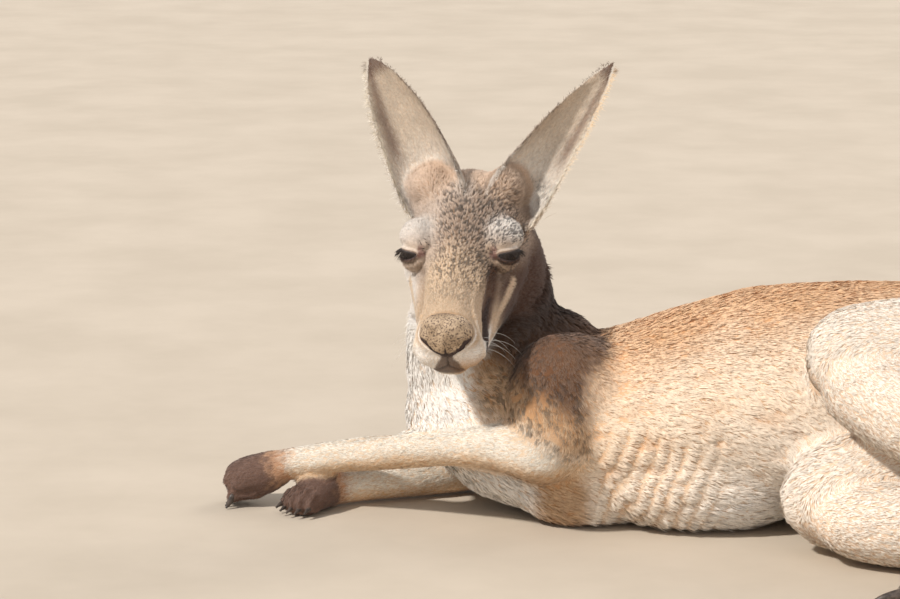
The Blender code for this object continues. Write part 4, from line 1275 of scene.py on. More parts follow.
def head_ground(local, side, grain, right):
    """Forehead, bridge, crown, cheeks, brow and jaw, before the finer marks. The forehead's right half is
    paler as painted light; the left cheek, the side of the head behind it and the jaw's underside on the
    left are painted shade.
    """
    x, y, z = local[:, 0], side[:, 1], local[:, 2]
    # painted light: the forehead is paler on the animal's right side
    forehead = mix(FOREHEAD, FOREHEAD_PAINTED_LIGHT, ramp(local[:, 1], -0.006, -0.022))
    colour = mix(forehead, BRIDGE, ramp(x + 0.006 * grain, 0.002, 0.046))
    colour = mix(colour, CROWN, np.clip(1.3 * spot_mask(side, CROWN_SPOT), 0, 1))
    colour = mix(colour, CROWN, ramp(x, -0.060, -0.080) * ramp(z, 0.010, 0.030))
    low = ramp(z + 0.10 * y, 0.004, -0.014) * ramp(x, 0.050, 0.020)
    # painted shade: the cheek is dark on the left side and pale on the right
    colour = mix(colour, mix(CHEEK_PAINTED_SHADE, FAR_CHEEK, right), low * ramp(y, 0.026, 0.038))
    behind = ramp(x, -0.045, -0.065) * ramp(z, 0.022, 0.006)
    # painted shade: the side of the head behind the cheek, dark on the left side
    colour = mix(colour, mix(CHEEK_PAINTED_SHADE, FAR_JAW, right), behind)
    colour = mix(colour, BROW, np.clip(1.7 * spot_mask(side, BROW_SPOT), 0, 0.95))
    under = ramp(z - 0.10 * x, -0.046, -0.060)
    left_jaw = ramp(local[:, 1], 0.012, 0.026) * ramp(x, 0.040, 0.022)
    # painted shade: under the jaw on the left side, nearly black
    colour = mix(colour, mix(WHITE, NECK_SHADE, left_jaw), under * ramp(x, 0.080, 0.050))
    colour = mix(colour, WHITE, ramp(z, -0.026, -0.036) * ramp(x, 0.048, 0.062))
    chin = ramp(z, -0.036, -0.052) * ramp(x, 0.060, 0.076) * ramp(local[:, 1], -0.006, 0.012)
    return mix(colour, CHIN, chin)


def side_marks(colour, side, other):
    """Between eye and mouth: a dark band of painted shade on the muzzle's side plane and a dark streak,
    both weaker on the other side, then the pale pad and stripe.
    """
    # painted shade: the dark band on the muzzle's side plane, weaker on the right side
    colour = line_tint(colour, side, SIDE_SHADE_BAND, SIDE_PLANE_SHADE, 2.0, 0.92, other)
    colour = line_tint(colour, side, DARK_STREAK, STREAK, 1.9, 0.95, other)
    colour = line_tint(colour, side, NOSE_SIDE, MUZZLE_PAD, 1.5, 0.85)
    return line_tint(colour, side, PALE_STRIPE, STRIPE, 2.0, 0.95)


def eye_marks(colour, side, right, other):
    """Round the eye: a pale upper lid, dark below and along the rim, reddish at the inner corner. The
    dark below the eye is partly dark skin and partly painted shade, less on the animal's right side.
    """
    eye = round_eye(side, 1)
    close = ramp(eye.distance, 0.0215, 0.0165) * ramp(np.abs(eye.s), 1.5, 1.15)
    colour = mix(colour, UPPER_LID, close * bump(eye.over, 9.0, 6.5) * 0.3)
    # partly dark skin and partly painted shade below the eye, less on the right side
    below = ramp(eye.under, 27, 9) * ramp(eye.over, 0, -2) * (1 - 0.5 * right * ramp(eye.under, 4, 9))
    colour = mix(colour, LIP, close * below)
    rim = ramp(eye.distance, 0.0155, 0.0145) * ramp(eye.over, 4.0, 2.0) * ramp(eye.under, 7, 3)
    colour = mix(colour, LIP, rim)
    corner = ramp(eye.s, 0.95, 1.15) * ramp(eye.s, 1.7, 1.35) * ramp(eye.distance, 0.020, 0.0165)
    colour = mix(colour, EYE_CORNER, 0.7 * corner * ramp(np.abs(eye.under + 6), 26, 10))
    # the dark line under the eye is also partly painted shade, weaker on the right side
    return line_tint(colour, side, UNDER_EYE, STREAK, 1.2, 0.8, other)


def mouth_marks(colour, local, side, grain):
    """The lips, the pale rim under the nose, and painted shade along the creases of crest and jaw."""
    x, y, z = local[:, 0], side[:, 1], local[:, 2]
    # the upper lip is dark in the middle, spreading downward from the nose
    spread_out = 0.0050 + 0.55 * np.maximum(-0.038 - z, 0)
    patch = ramp(y / spread_out + 0.25 * grain, 1.15, 0.75) * ramp(z, -0.0335, -0.037)
    patch *= ramp(z, -0.064, -0.055)
    colour = mix(colour, LIP, ramp(x, 0.086, 0.091) * patch * 0.84)
    rim = np.linalg.norm(nose_place(local), axis=1)
    pale_rim = bump(rim, 1.10, 0.08) * ramp(z, -0.014, -0.022) * ramp(x, 0.078, 0.084)
    colour = mix(colour, WHITE, 0.85 * pale_rim * ramp(y, 0.004, 0.009))
    colour = line_tint(colour, side, MOUTH, LIP, 1.3, 0.85)
    colour = line_tint(colour, side, PHILTRUM, STREAK, 1.3, 0.95)
    # painted shade along the crest's crease
    colour = line_tint(colour, local, CREST, CREST_CREASE_SHADE, 1.4, 0.92)
    # painted shade along the jaw's crease
    return line_tint(colour, side, JAW_CREASE, JAW_CREASE_SHADE, 0.75, 1.0)


def head_colour(points):
    """Ground first, then the marks; the order matters, as each one covers those before."""
    local = to_head(points)
    side = mirrored(local)
    grain = noise(points, 0.006, 8)
    right = ramp(local[:, 1], -0.010, -0.026)
    other = 1 - 0.80 * right
    colour = head_ground(local, side, grain, right)
    colour = side_marks(colour, side, other)
    colour = eye_marks(colour, side, right, other)
    return mouth_marks(colour, local, side, grain)


def ear_colour(place, mirror_edge):
    """One ear: grey-beige inside, brown behind, dark at the tip, pale at one edge, with painted shade in
    the channel beside that edge.
    """
    edge = place.v * mirror_edge
    colour = mix(EAR_BACK, EAR_IN, place.inside)
    colour = mix(colour, EAR_BASE, place.inside * ramp(place.share, 0.55, 0.22) * 0.85)
    rim = ramp(np.abs(place.v), 0.78, 0.95)
    colour = mix(colour, EAR_EDGE, rim * ramp(edge, 0.1, 0.7) * ramp(place.share, 0.97, 0.90))
    colour = mix(colour, EAR_DARK, rim * ramp(edge, -0.1, -0.7) * 0.60 * (1 - place.inside * 0.6))
    # painted shade in the channel beside the pale edge
    channel = place.inside * bump(edge, 0.60, 0.30) * ramp(place.share, 0.30, 0.50)
    colour = mix(colour, EAR_CHANNEL_SHADE, 0.72 * channel)
    colour = mix(colour, EAR_TIP, ramp(place.share, 0.86, 0.95) * 0.80)
    ridge = place.inside * bump(place.share, 0.245, 0.07) * ramp(edge, 0.55, 0.20)
    return mix(colour, EAR_RIDGE, 0.60 * ridge)


def tail_colour(places):
    up = np.sin(places.turn[:, INDEX["tail"]] - 0.7)
    tail = mix(CREAM, TAIL_TOP, ramp(up, -0.5, 0.6))
    return mix(tail, TAIL_TIP, ramp(places.along("tail"), 0.80, 0.98) * 0.6)


def neck_colour(points):
    # painted shade: the neck nearly black above and dark brown below, its own brown deepened by the
    # head's shadow
    neck = mix(NECK_SHADE, SHOULDER_BROWN_AND_SHADE, ramp(points[:, 2], 0.19, 0.13))
    neck = mix(neck, TAN, 0.6 * ramp(points[:, 0], 0.044, 0.024) * ramp(points[:, 1], 0.06, 0.03))
    return mix(neck, WHITE, bib(points))


def arm_colour(points, places, name):
    """Pale above and tan below; wrist and hand are darker, and the shoulder's brown is deepened by
    painted shade.
    """
    t, z = places.along(name), points[:, 2]
    up = np.sin(places.turn[:, INDEX[name]])
    arm = mix(ARM_UNDER, ARM, ramp(up + 0.2 * noise(points, 0.02, 9), -0.60, 0.05))
    ground = 0.050 if name == "arm_left" else 0.010
    arm = mix(arm, TAN, ramp(z, ground + 0.015, ground) * ramp(t, 0.42, 0.34))
    high = above_elbow(points) + 0.008 * noise(points, 0.016, 18)
    # painted shade: the shoulder's brown darkens toward its top
    dark = mix(TAN, SHOULDER_BROWN_AND_SHADE, ramp(high, 0.028, 0.056))
    arm = mix(arm, dark, ramp(high, 0.000, 0.020) * ramp(t, 0.45, 0.40))
    arm = mix(arm, WRIST, ramp(t + 0.020 * noise(points, 0.006, 17), 0.655, 0.715))
    return mix(arm, HAND, ramp(t + 0.05 * noise(points, 0.005, 4), 0.710, 0.790))


def thigh_colour(points, places, name):
    outer = ramp(points[:, 2] + 0.02 * noise(points, 0.03, 10), 0.03, 0.15)
    return mix(mix(CREAM, THIGH, outer), FLANK, ramp(places.along(name), 0.45, 0.12))


def shank_colour(_, places, name):
    return mix(CREAM, FOOT, ramp(places.along(name), 0.45, 1.0))


def foot_colour(points, places, name):
    foot = mix(FOOT, TOES, ramp(places.along(name), 0.62, 0.92))
    return mix(foot, SOLE, ramp(points[:, 2], 0.010, 0.005))


def coat_colour(points, places):
    """The colour at every point of skin and coat: each region's own, by its share."""
    shares = {name: places.share[:, i][:, None] for name, i in INDEX.items()}
    colour = shares["trunk"] * trunk_colour(points, places)
    colour += shares["tail"] * tail_colour(places)
    colour += (shares["neck"] + shares["throat"]) * neck_colour(points)
    colour += shares["head"] * head_colour(points)
    for name, edge in (("ear_left", 1), ("ear_right", -1)):
        colour += shares[name] * ear_colour(places.ear[name], edge)
    for limb, limb_colour in (("arm", arm_colour), ("thigh", thigh_colour),
                              ("shank", shank_colour), ("foot", foot_colour)):
        for side in ("left", "right"):
            name = f"{limb}_{side}"
            colour += shares[name] * limb_colour(points, places, name)
    shade = 1 + 0.05 * noise(points, 0.012, 11) + 0.04 * noise(points, 0.04, 12)
    return np.clip(colour * shade[:, None], 0.0, 1.0)


def speckle(points, places):
    """0 to 1: how strongly pale tufts stand among dark ones."""
    local = to_head(points)
    x, y, z = local.T
    face = ramp(x, -0.062, -0.036) * ramp(x, 0.086, 0.070) * ramp(z, -0.014, 0.000)
    face *= mix_value(0.25, 1.0, ramp(y, -0.026, -0.008)) * mix_value(1.0, 0.55, ramp(x, 0.040, 0.065))
    high = above_elbow(points)
    shoulder = ramp(high, -0.010, 0.012) * ramp(high, 0.100, 0.060) * ramp(points[:, 0], 0.128, 0.112)
    body = places.part("trunk", "arm_left", "neck") * shoulder * (1 - bib(points))
    ridge = sum(places.part(name) * place.inside * bump(place.share, 0.245, 0.10)
                for name, place in places.ear.items())
    return np.clip(face * places.part("head") + 0.75 * body + 0.7 * ridge, 0, 1)


# ---------------------------------------------------------------- the coat
# tuft length, width (mm), lift (degrees), tufts per square centimetre, lock size (mm), gathering
STYLE = {
    "trunk": (8.6, 0.95, 12, 74, 4.2, 0.28), "tail": (8.5, 0.95, 14, 40, 5.0, 0.35),
    "neck": (9.5, 0.85, 18, 92, 5.0, 0.42), "throat": (11.0, 0.80, 13, 100, 5.5, 0.32),
    "head": (3.9, 0.48, 26, 235, 2.0, 0.50),
    "arm_left": (5.2, 0.50, 7, 175, 3.4, 0.16), "arm_right": (5.5, 0.55, 8, 130, 3.4, 0.18),
    "thigh_left": (6.5, 0.75, 10, 84, 4.0, 0.22), "thigh_right": (7.0, 0.85, 12, 58, 4.5, 0.28),
    "shank_left": (6.5, 0.80, 12, 64, 4.2, 0.28), "shank_right": (6.5, 0.85, 12, 54, 4.2, 0.28),
    "foot_left": (4.4, 0.75, 15, 76, 3.2, 0.35), "foot_right": (4.4, 0.80, 15, 66, 3.2, 0.35),
    "ear_left": (5.0, 0.36, 11, 200, 2.4, 0.22), "ear_right": (5.0, 0.36, 11, 200, 2.4, 0.22),
}
HAND_STYLE = (2.8, 0.55, 16, 150, 2.0, 0.30)
STYLE_SCALE = (0.001, 0.001, math.pi / 180, 1e4, 0.001, 1.0)
LENGTH, WIDTH, LIFT, DENSITY, LOCK_SIZE, GATHERING = range(6)
MOST_TUFTS = 730000          # without the ears' fringes
PIECE_TRIANGLES = 196000     # the most in one piece
LEAST_DENSITY = 1e5          # tufts per square metre, for the choice of locks
TUFT_FLOOR = 0.0006          # no tuft reaches lower than this over the ground
ROOT_DEPTH = 0.08            # tufts start this share of their length under the skin
PATCH = 0.003                # a tuft's patch on the unwrap
BLADE = (0, 1, 2, 2, 1, 3)   # root, left, right, tip: the two triangles of a tuft
BLADE_PATCH = ((0.0, 0.0), (-0.35, 0.5), (0.35, 0.5), (0.0, 1.0))    # those four in its patch
FRINGE = 620                 # hairs along an ear's outer edge; half as many along the inner one
FRINGE_WIDTH, FRINGE_LIFT = 0.00036, 0.10
FRINGE_LOCK = (0.0022, 0.25)         # lock size, gathering


def flow_field(points, normals, places):
    """The lie of the coat, as directions in the skin."""
    flow = np.einsum("ij,ijk->ik", places.share, places.flow)
    z = points[:, 2]
    trunk, head = places.part("trunk"), places.part("head")
    neck = places.part("neck", "throat")
    flow += trunk[:, None] * np.array((0.25, 0.0, 0.0))
    flow[:, 2] -= trunk * (0.42 + 0.25 * ramp(z, 0.05, 0.16))
    flow -= 1.9 * neck[:, None] * np.einsum("ij,ijk->ik", places.share, places.flow)
    flow += neck[:, None] * np.array((0.30, 0.10, -0.95))
    local = to_head(points)
    side = np.sign(local[:, 1])
    x, low = local[:, 0], local[:, 2]
    own = np.zeros_like(points)
    own[:, 0] = -1.0
    own[:, 1] = side * (0.20 * ramp(x, 0.07, 0.02) - 0.05)
    own[:, 2] = -0.50 * ramp(low, 0.0, -0.03) * ramp(x, 0.05, 0.0)
    brow = ramp(from_eye(local), 0.030, 0.018)
    own[:, 1] += 0.5 * side * brow * ramp(low, 0.0, 0.01)
    under_eye = brow * ramp(low, 0.0, -0.008)
    own[:, 2] -= 0.9 * under_eye
    flow = mix(flow, head_turn(own), head)
    for name, place in places.ear.items():
        _, along, _, across, _, _ = ear_frame(name)
        edge = np.sign(place.v) * ramp(np.abs(place.v), 0.45, 1.0)
        out = along + across * (0.75 * edge)[:, None]
        flow = mix(flow, out, places.part(name))
    flow = flow - normals * dot(flow, normals)[:, None]
    return unit(flow)


def style_field(points, places):
    """Columns: length, width, lift, density, lock size, gathering."""
    rows = np.array([STYLE[name] for name in REGIONS]) * STYLE_SCALE
    style = places.share @ rows
    style = mix(style, np.array(HAND_STYLE) * STYLE_SCALE, np.clip(hand_share(places), 0, 1))
    local = to_head(points)
    head_style(style, local, places.part("head"), speckle(points, places))
    for name, place in places.ear.items():
        ear_style(style, place, places.part(name))
    style[:, DENSITY] *= 1 - bare_share(local)
    # thin under the body, where it lies on the ground
    style[:, DENSITY] *= 0.25 + 0.75 * ramp(points[:, 2], 0.004, 0.010)
    return style


def head_style(style, local, head, rough):
    """The coat is shortest on the muzzle and longer on the cheeks, throat and crown."""
    x, z = local[:, 0], local[:, 2]
    grow = 0.62 + 0.55 * ramp(x, 0.045, -0.05) + 0.65 * ramp(z, -0.040, -0.062) * ramp(x, 0.06, 0.0)
    grow *= 1 - 0.28 * ramp(x, 0.060, 0.085)
    grow *= 1 - 0.40 * ramp(from_eye(local), 0.021, 0.016)
    style[:, LENGTH] *= mix_value(1.0, grow, head)
    style[:, WIDTH] *= mix_value(1.0, 0.80 + 0.35 * ramp(x, 0.02, -0.06), head)
    style[:, DENSITY] *= mix_value(1.0, 1.25 - 0.62 * ramp(x, -0.02, -0.08), head)
    # speckled places are rough and gathered, the cheeks lie smooth
    style[:, LIFT] += head * rough * math.radians(20)
    style[:, LOCK_SIZE] *= 1 + 0.15 * head * rough
    style[:, GATHERING] += 0.30 * head * rough
    style[:, LENGTH] *= 1 + 0.6 * head * ramp(x, -0.040, -0.060) * ramp(z, 0.048, 0.058)
    smooth_cheek = head * ramp(z, 0.004, -0.010)
    style[:, LIFT] -= smooth_cheek * math.radians(9)
    style[:, LENGTH] *= 1 + 0.5 * smooth_cheek * ramp(x, 0.03, -0.02)


def ear_style(style, place, share):
    """Lifted along the rim, longer deep in the shell, shorter toward the tip."""
    style[:, LIFT] += 0.25 * (ramp(np.abs(place.v), 0.82, 0.98) * share)
    deep = share * place.inside * ramp(place.share, 0.34, 0.10)
    style[:, LENGTH] *= 1 + 0.6 * deep
    style[:, LIFT] += 0.12 * deep
    style[:, LENGTH] *= 1 - 0.3 * share * ramp(place.share, 0.80, 0.92)


def bare_share(local):
    """1 where no tuft grows: in the eyes' openings, at their lower rims and under the nose."""
    bare = np.zeros(len(local))
    for sign in (1, -1):
        eye = round_eye(local, sign)
        bare = np.maximum(bare, ramp(eye.distance, EYE_RADIUS * 1.06, EYE_RADIUS * 1.03))
        bare = np.maximum(bare, ramp(eye.distance, 0.0180, 0.0160) * ramp(eye.under, 6, 3)
                          * ramp(np.abs(eye.s), 1.2, 1.0))
    bare = np.maximum(bare, ramp(np.linalg.norm(nose_place(local), axis=1), 1.04, 0.98))
    lip = ramp(local[:, 2], -0.034, -0.037) * ramp(local[:, 0], 0.092, 0.096)
    lip *= ramp(mirrored(local)[:, 1], 0.011, 0.007)
    return np.maximum(bare, 0.6 * lip)


def flat_triangles(mesh):
    mesh.calc_loop_triangles()
    return read_out(mesh.loop_triangles, "vertices", 3, np.int32)


def scattered(points, triangles, density, count):
    """Roots spread evenly by density: the corners of each one's triangle, and its shares of them."""
    a, b, c = (points[triangles[:, i]] for i in range(3))
    area = np.linalg.norm(np.cross(b - a, c - a), axis=1) / 2
    weight = np.cumsum(area * density[triangles].mean(axis=1))
    count = int(min(count, weight[-1]))
    marks = (np.arange(count) + RNG.random(count)) * (weight[-1] / count)
    chosen = np.searchsorted(weight, marks).clip(0, len(triangles) - 1)
    u, v = RNG.random(count), RNG.random(count)
    flip = u + v > 1
    u[flip], v[flip] = 1 - u[flip], 1 - v[flip]
    return triangles[chosen], np.stack([1 - u - v, u, v], axis=1)


def spread(values, corners, shares):
    """Values at the roots, from those at the corners of their triangles."""
    return np.einsum("ij,ij...->i...", shares, values[corners])


def nearest_lock(roots, spacing, density):
    """The lock each root belongs to: the nearest of a thinner random set of roots."""
    chance = np.clip(1.6 / (density * np.maximum(spacing, 1e-4) ** 2), 0.004, 0.5)
    picked = np.flatnonzero(RNG.random(len(roots)) < chance)
    tree = kdtree.KDTree(len(picked))
    for i, root in enumerate(roots[picked]):
        tree.insert(root, i)
    tree.balance()
    near = np.array([tree.find(root)[1] for root in roots])
    return picked[near]


def tuft_field(skin, places, style, flow):
    """Everything the tufts need, at their roots."""
    points, normals = mesh_points(skin.data), mesh_normals(skin.data)
    colour = coat_colour(points, places)
    triangles = flat_triangles(skin.data)
    corners, shares = scattered(points, triangles, style[:, DENSITY], MOST_TUFTS)
    first = corners[:, 0]
    field = SimpleNamespace(
        root=spread(points, corners, shares), normal=unit(spread(normals, corners, shares)),
        flow=unit(spread(flow, corners, shares)), style=spread(style, corners, shares),
        colour=spread(colour, corners, shares), main=places.main[first],
        speck=spread(speckle(points, places), corners, shares),
        chart_at=chart_spots(chart_places(points, places), places.main[first], corners, shares))
    for name, outer in (("ear_left", 1), ("ear_right", -1)):
        for edge in (1, -1):
            add_fringe(field, name, edge, edge * outer)
    return field


def add_fringe(field, name, edge, outer):
    """Longer hairs along one edge of an ear; outer is 1 on the edge that looks away from the head."""
    count = FRINGE if outer > 0 else FRINGE // 2
    share = RNG.random(count) ** 0.85 * 0.97 + 0.02
    v = edge * (1 - 0.10 * RNG.random(count) ** 2)
    lift = (RNG.random(count) - 0.5) * EAR_THICKNESS * 0.35
    root = ear_sheet(name, share, v, lift)
    _, along, front, _, _, _ = ear_frame(name)
    out = unit(root - ear_sheet(name, share, v * 0.96, lift))
    way = unit(out + along * RNG.uniform(-0.25, 0.75, count)[:, None])
    facing = np.tile(front, (count, 1)) * 0.6 + out * 0.7 + np.array((0.0, 0.0, 0.5))
    normal = unit(np.cross(way, np.cross(facing, way)))
    full = np.sin(np.pi * np.clip(share, 0.12, 0.90) ** 0.8) ** 0.6
    if outer > 0:
        length = (0.0035 + 0.0045 * full) * (0.6 + 0.8 * RNG.random(count))
        length *= 1 + 1.5 * ramp(share, 0.34, 0.10)
        tint, whiter = (EAR_EDGE, 1.0) if name == "ear_right" else (LEFT_FRINGE, 0.5)
        colour = mix(tint, WHITE, ramp(share, 0.60, 0.25) * whiter)
        colour = mix(colour, EAR_TIP, ramp(share, 0.93, 0.97) * 0.6)
    else:
        length = (0.0025 + 0.0030 * full) * (0.5 + 0.9 * RNG.random(count))
        colour = mix(EAR_DARK, EAR_BASE, ramp(share, 0.42, 0.22))
    style = np.zeros((count, 6))
    style[:, LENGTH] = length
    style[:, WIDTH:DENSITY] = FRINGE_WIDTH, FRINGE_LIFT
    style[:, LOCK_SIZE:] = FRINGE_LOCK
    spot = in_rectangle(name, share, 0.25 * (1 + edge))
    extra = {"root": root, "normal": normal, "flow": way, "style": style, "colour": colour,
             "main": np.full(count, INDEX[name]), "speck": np.zeros(count), "chart_at": spot}
    for key, rows in extra.items():
        setattr(field, key, np.concatenate([getattr(field, key), rows]))


def tuft_shape(field, chosen):
    """Points and shading of tufts: each a bent leaf, narrow at root and tip."""
    count = len(chosen)
    root, normal, flow = field.root[chosen], field.normal[chosen], field.flow[chosen]
    length, width, lift, _, lock_size, gather = field.style[chosen].T
    lock = field.lock[chosen]
    own = field.lock_random[lock]
    # each lock has a length, a lift and a turn of its own
    length = length * (0.80 + 0.40 * own[:, 0]) * (0.80 + 0.40 * RNG.random(count))
    turn = (own[:, 1] - 0.5) * 0.62 + (RNG.random(count) - 0.5) * 0.50
    flow = unit(turned(flow, np.cross(normal, flow), turn))
    across = np.cross(normal, flow)
    away = root - field.root[lock]
    away = away - normal * dot(away, normal)[:, None]
    sideways = np.clip(dot(away, across), -lock_size, lock_size)
    rise = lift * (0.70 + 0.60 * own[:, 2]) + (RNG.random(count) - 0.5) * 0.16
    rise = rise + 0.18 * gather * (1 - np.abs(sideways) / np.maximum(lock_size, 1e-4))
    first, second = turned(flow, normal, rise * 1.35), turned(flow, normal, rise * 0.30)
    drawn = -across * (sideways * gather)[:, None]
    base = root - normal * (length * ROOT_DEPTH)[:, None]
    middle = base + first * (length * 0.46)[:, None] + drawn * 0.45
    tip = middle + second * (length * 0.56)[:, None] + drawn * 0.55
    edge = turned(across, normal, (RNG.random(count) - 0.5) * 1.3)
    half = edge * (width * (0.75 + 0.5 * RNG.random(count)) / 2)[:, None]
    points = np.stack([base, middle - half, middle + half, tip], axis=1)
    points[..., 2] = np.maximum(points[..., 2], TUFT_FLOOR)
    # shading follows the skin, bent round each lock
    round_lock = across * (sideways / np.maximum(lock_size, 1e-4) * 0.38)[:, None]
    face = unit(np.cross(second, edge))
    face = face * np.sign(dot(face, normal))[:, None]
    shade = unit(normal + face * 0.13 + round_lock)
    return points, np.repeat(shade[:, None], 4, axis=1)


def tuft_colours(field, chosen):
    """Roots are deeper and redder, tips paler; where the coat is speckled, some locks are dark."""
    own, speck = field.lock_random[field.lock[chosen], 3], field.speck[chosen]
    tone = 0.92 + 0.13 * own + 0.12 * (RNG.random(len(chosen)) - 0.5)
    tone *= 1 - 0.72 * speck * ramp(own, 0.52, 0.66)
    body = field.colour[chosen] * tone[:, None]
    pale = (1 - (1 - body) * 0.93) * (1 + 0.45 * speck)[:, None]
    return np.stack([body * np.array(ROOT_TINT), body, body, pale], axis=1)


def tufts(field, chosen, name):
    """One piece of coat."""
    points, normals = tuft_shape(field, chosen)
    return blade_piece(name, points, normals, tuft_colours(field, chosen), field.chart_at[chosen])


def blade_piece(name, points, normals, colours, spot):
    """Tufts as one mesh: two triangles each, with a patch of the unwrap for each tuft."""
    count = len(points)
    mesh = bpy.data.meshes.new(name)
    mesh.vertices.add(count * 4)
    mesh.vertices.foreach_set("co", points.astype(np.float32).ravel())
    corners = (np.arange(count)[:, None] * 4 + np.array(BLADE)).ravel()
    mesh.loops.add(count * 6)
    mesh.loops.foreach_set("vertex_index", corners.astype(np.int32))
    mesh.polygons.add(count * 2)
    mesh.polygons.foreach_set("loop_start", np.arange(0, count * 6, 3, dtype=np.int32))
    layer = mesh.uv_layers.new(name="OFBake")
    places = spot[:, None] + np.array(BLADE_PATCH) * PATCH
    layer.uv.foreach_set("vector", places[:, BLADE].astype(np.float32).ravel())
    paint_points(mesh, colours.reshape(-1, 3))
    mesh.update()
    mesh.shade_smooth()
    mesh.normals_split_custom_set_from_vertices(normals.reshape(-1, 3).tolist())
    return linked(bpy.data.objects.new(name, mesh))


def paint_points(mesh, colours):
    """Colours of the mesh's points, which its material reads."""
    attribute = mesh.color_attributes.new("Color", "FLOAT_COLOR", "POINT")
    rgba = np.concatenate([np.clip(colours, 0, 1), np.ones((len(colours), 1))], axis=1)
    attribute.data.foreach_set("color", rgba.astype(np.float32).ravel())


# ---------------------------------------------------------------- the unwrap and the coat's pieces
# the regions of each piece of coat
PIECES = {
    "coat_head": ("head",), "coat_ears": ("ear_left", "ear_right"), "coat_neck": ("neck", "throat"),
    "coat_trunk": ("trunk",), "coat_tail": ("tail",), "coat_arms": ("arm_left", "arm_right"),
    "coat_legs": ("thigh_left", "thigh_right", "shank_left", "shank_right"),
    "coat_feet": ("foot_left", "foot_right"),
}
# each region's rectangle in its piece's unit square: left, bottom, right, top
RECTANGLES = {
    "trunk": (0, 0, 1, 1), "tail": (0, 0, 1, 1), "head": (0, 0, 1, 1),
    "neck": (0, 0, 0.62, 1), "throat": (0.62, 0, 1, 1),
    "ear_left": (0, 0, 1, 0.5), "ear_right": (0, 0.5, 1, 1),
    "arm_left": (0, 0, 1, 0.5), "arm_right": (0, 0.5, 1, 1),
    "thigh_left": (0, 0, 0.5, 0.5), "thigh_right": (0, 0.5, 0.5, 1),
    "shank_left": (0.5, 0, 1, 0.5), "shank_right": (0.5, 0.5, 1, 1),
    "foot_left": (0, 0, 1, 0.5), "foot_right": (0, 0.5, 1, 1),
}


def chart_places(points, places):
    """Each region's own unwrap, from 0 to 1: along it and round it, or across an ear's shell."""
    charts = {}
    for name, path in PATHS.items():
        if name == "head":
            local = to_head(points)
            along = np.clip((local[:, 0] + 0.12) / 0.23, 0, 1)
            round_it = np.arctan2(local[:, 2] + 0.015, local[:, 1])
        else:
            low, high = path.centre[0], path.centre[-1]
            step = high - low
            along = np.clip(((points - low) @ step) / (step @ step), 0, 1)
            round_it = places.turn[:, INDEX[name]]
        charts[name] = (along, (round_it / (2 * math.pi) + 0.25) % 1.0)
    for name, place in places.ear.items():
        half = (place.v + 1) / 4
        charts[name] = (place.share, np.where(place.inside > 0.5, half, 1 - half))
    return charts


def in_rectangle(name, u, v):
    """Places from 0 to 1 laid in a region's rectangle, clear of its edges."""
    left, bottom, right, top = RECTANGLES[name]
    inset = 2 * PATCH
    spots = np.empty((len(u), 2))
    spots[:, 0] = left + inset + u * (right - left - 2 * inset)
    spots[:, 1] = bottom + inset + v * (top - bottom - 2 * inset)
    return spots


def chart_spots(chart, main, corners, shares):
    """Each root's place in its piece's unit square."""
    spots = np.zeros((len(main), 2))
    for name, (along, round_it) in chart.items():
        rows = np.flatnonzero(main == INDEX[name])
        u = spread(along, corners[rows], shares[rows])
        turn = round_it[corners[rows]]
        turn = turn - np.round(turn - turn[:, :1])     # a triangle over the seam stays whole
        v = (turn * shares[rows]).sum(axis=1) % 1.0
        spots[rows] = in_rectangle(name, u, v)
    return spots


def make_coat(skin, places):
    """The coat's pieces; a large one is split along the body."""
    points, normals = mesh_points(skin.data), mesh_normals(skin.data)
    net = Net(skin.data)
    flow = net.soften(flow_field(points, normals, places), 8)
    flow = unit(flow - normals * dot(flow, normals)[:, None])
    style = style_field(points, places)
    style[:, :DENSITY] = net.soften(style[:, :DENSITY], 2)
    field = tuft_field(skin, places, style, flow)
    field.lock = nearest_lock(field.root, field.style[:, LOCK_SIZE],
                              np.maximum(field.style[:, DENSITY], LEAST_DENSITY))
    field.lock_random = RNG.random((len(field.root), 4))
    made = []
    for name, regions in PIECES.items():
        rows = np.flatnonzero(np.isin(field.main, [INDEX[r] for r in regions]))
        rows = rows[np.argsort(field.root[rows, 0], kind="stable")]
        parts = max(1, math.ceil(len(rows) * 2 / PIECE_TRIANGLES))
        for i, some in enumerate(np.array_split(rows, parts)):
            piece = name if parts == 1 else f"{name}_{i + 1}"
            made.append(tufts(field, some, piece))
    return made


# ---------------------------------------------------------------- eyes, nose, hairs and claws
RIM_HALF = 40                # points along each lid's margin
LASHES = 96                  # on each upper lid
HAIR_SIDES = 4
# roots of the few black hairs over each eye
BROW_HAIRS = ((0.0105, 0.0262, 0.0225), (0.0150, 0.0245, 0.0215), (0.0085, 0.0232, 0.0238),
              (0.0138, 0.0292, 0.0192), (0.0188, 0.0262, 0.0178), (0.0172, 0.0222, 0.0208))
# the left nostril's slit, as a line with half widths
NOSTRIL = (((0.1015, 0.0105, -0.0300), 0.0017), ((0.0985, 0.0152, -0.0265), 0.0026),
           ((0.0935, 0.0195, -0.0215), 0.0024), ((0.0890, 0.0200, -0.0160), 0.0014))


def head_object(name, loft):
    """An object from a loft whose points are in the head's frame."""
    loft.points = [from_head(p) for p in loft.points]
    return loft.object(name)


def smooth_shaded(obj):
    obj.data.shade_smooth()
    return obj


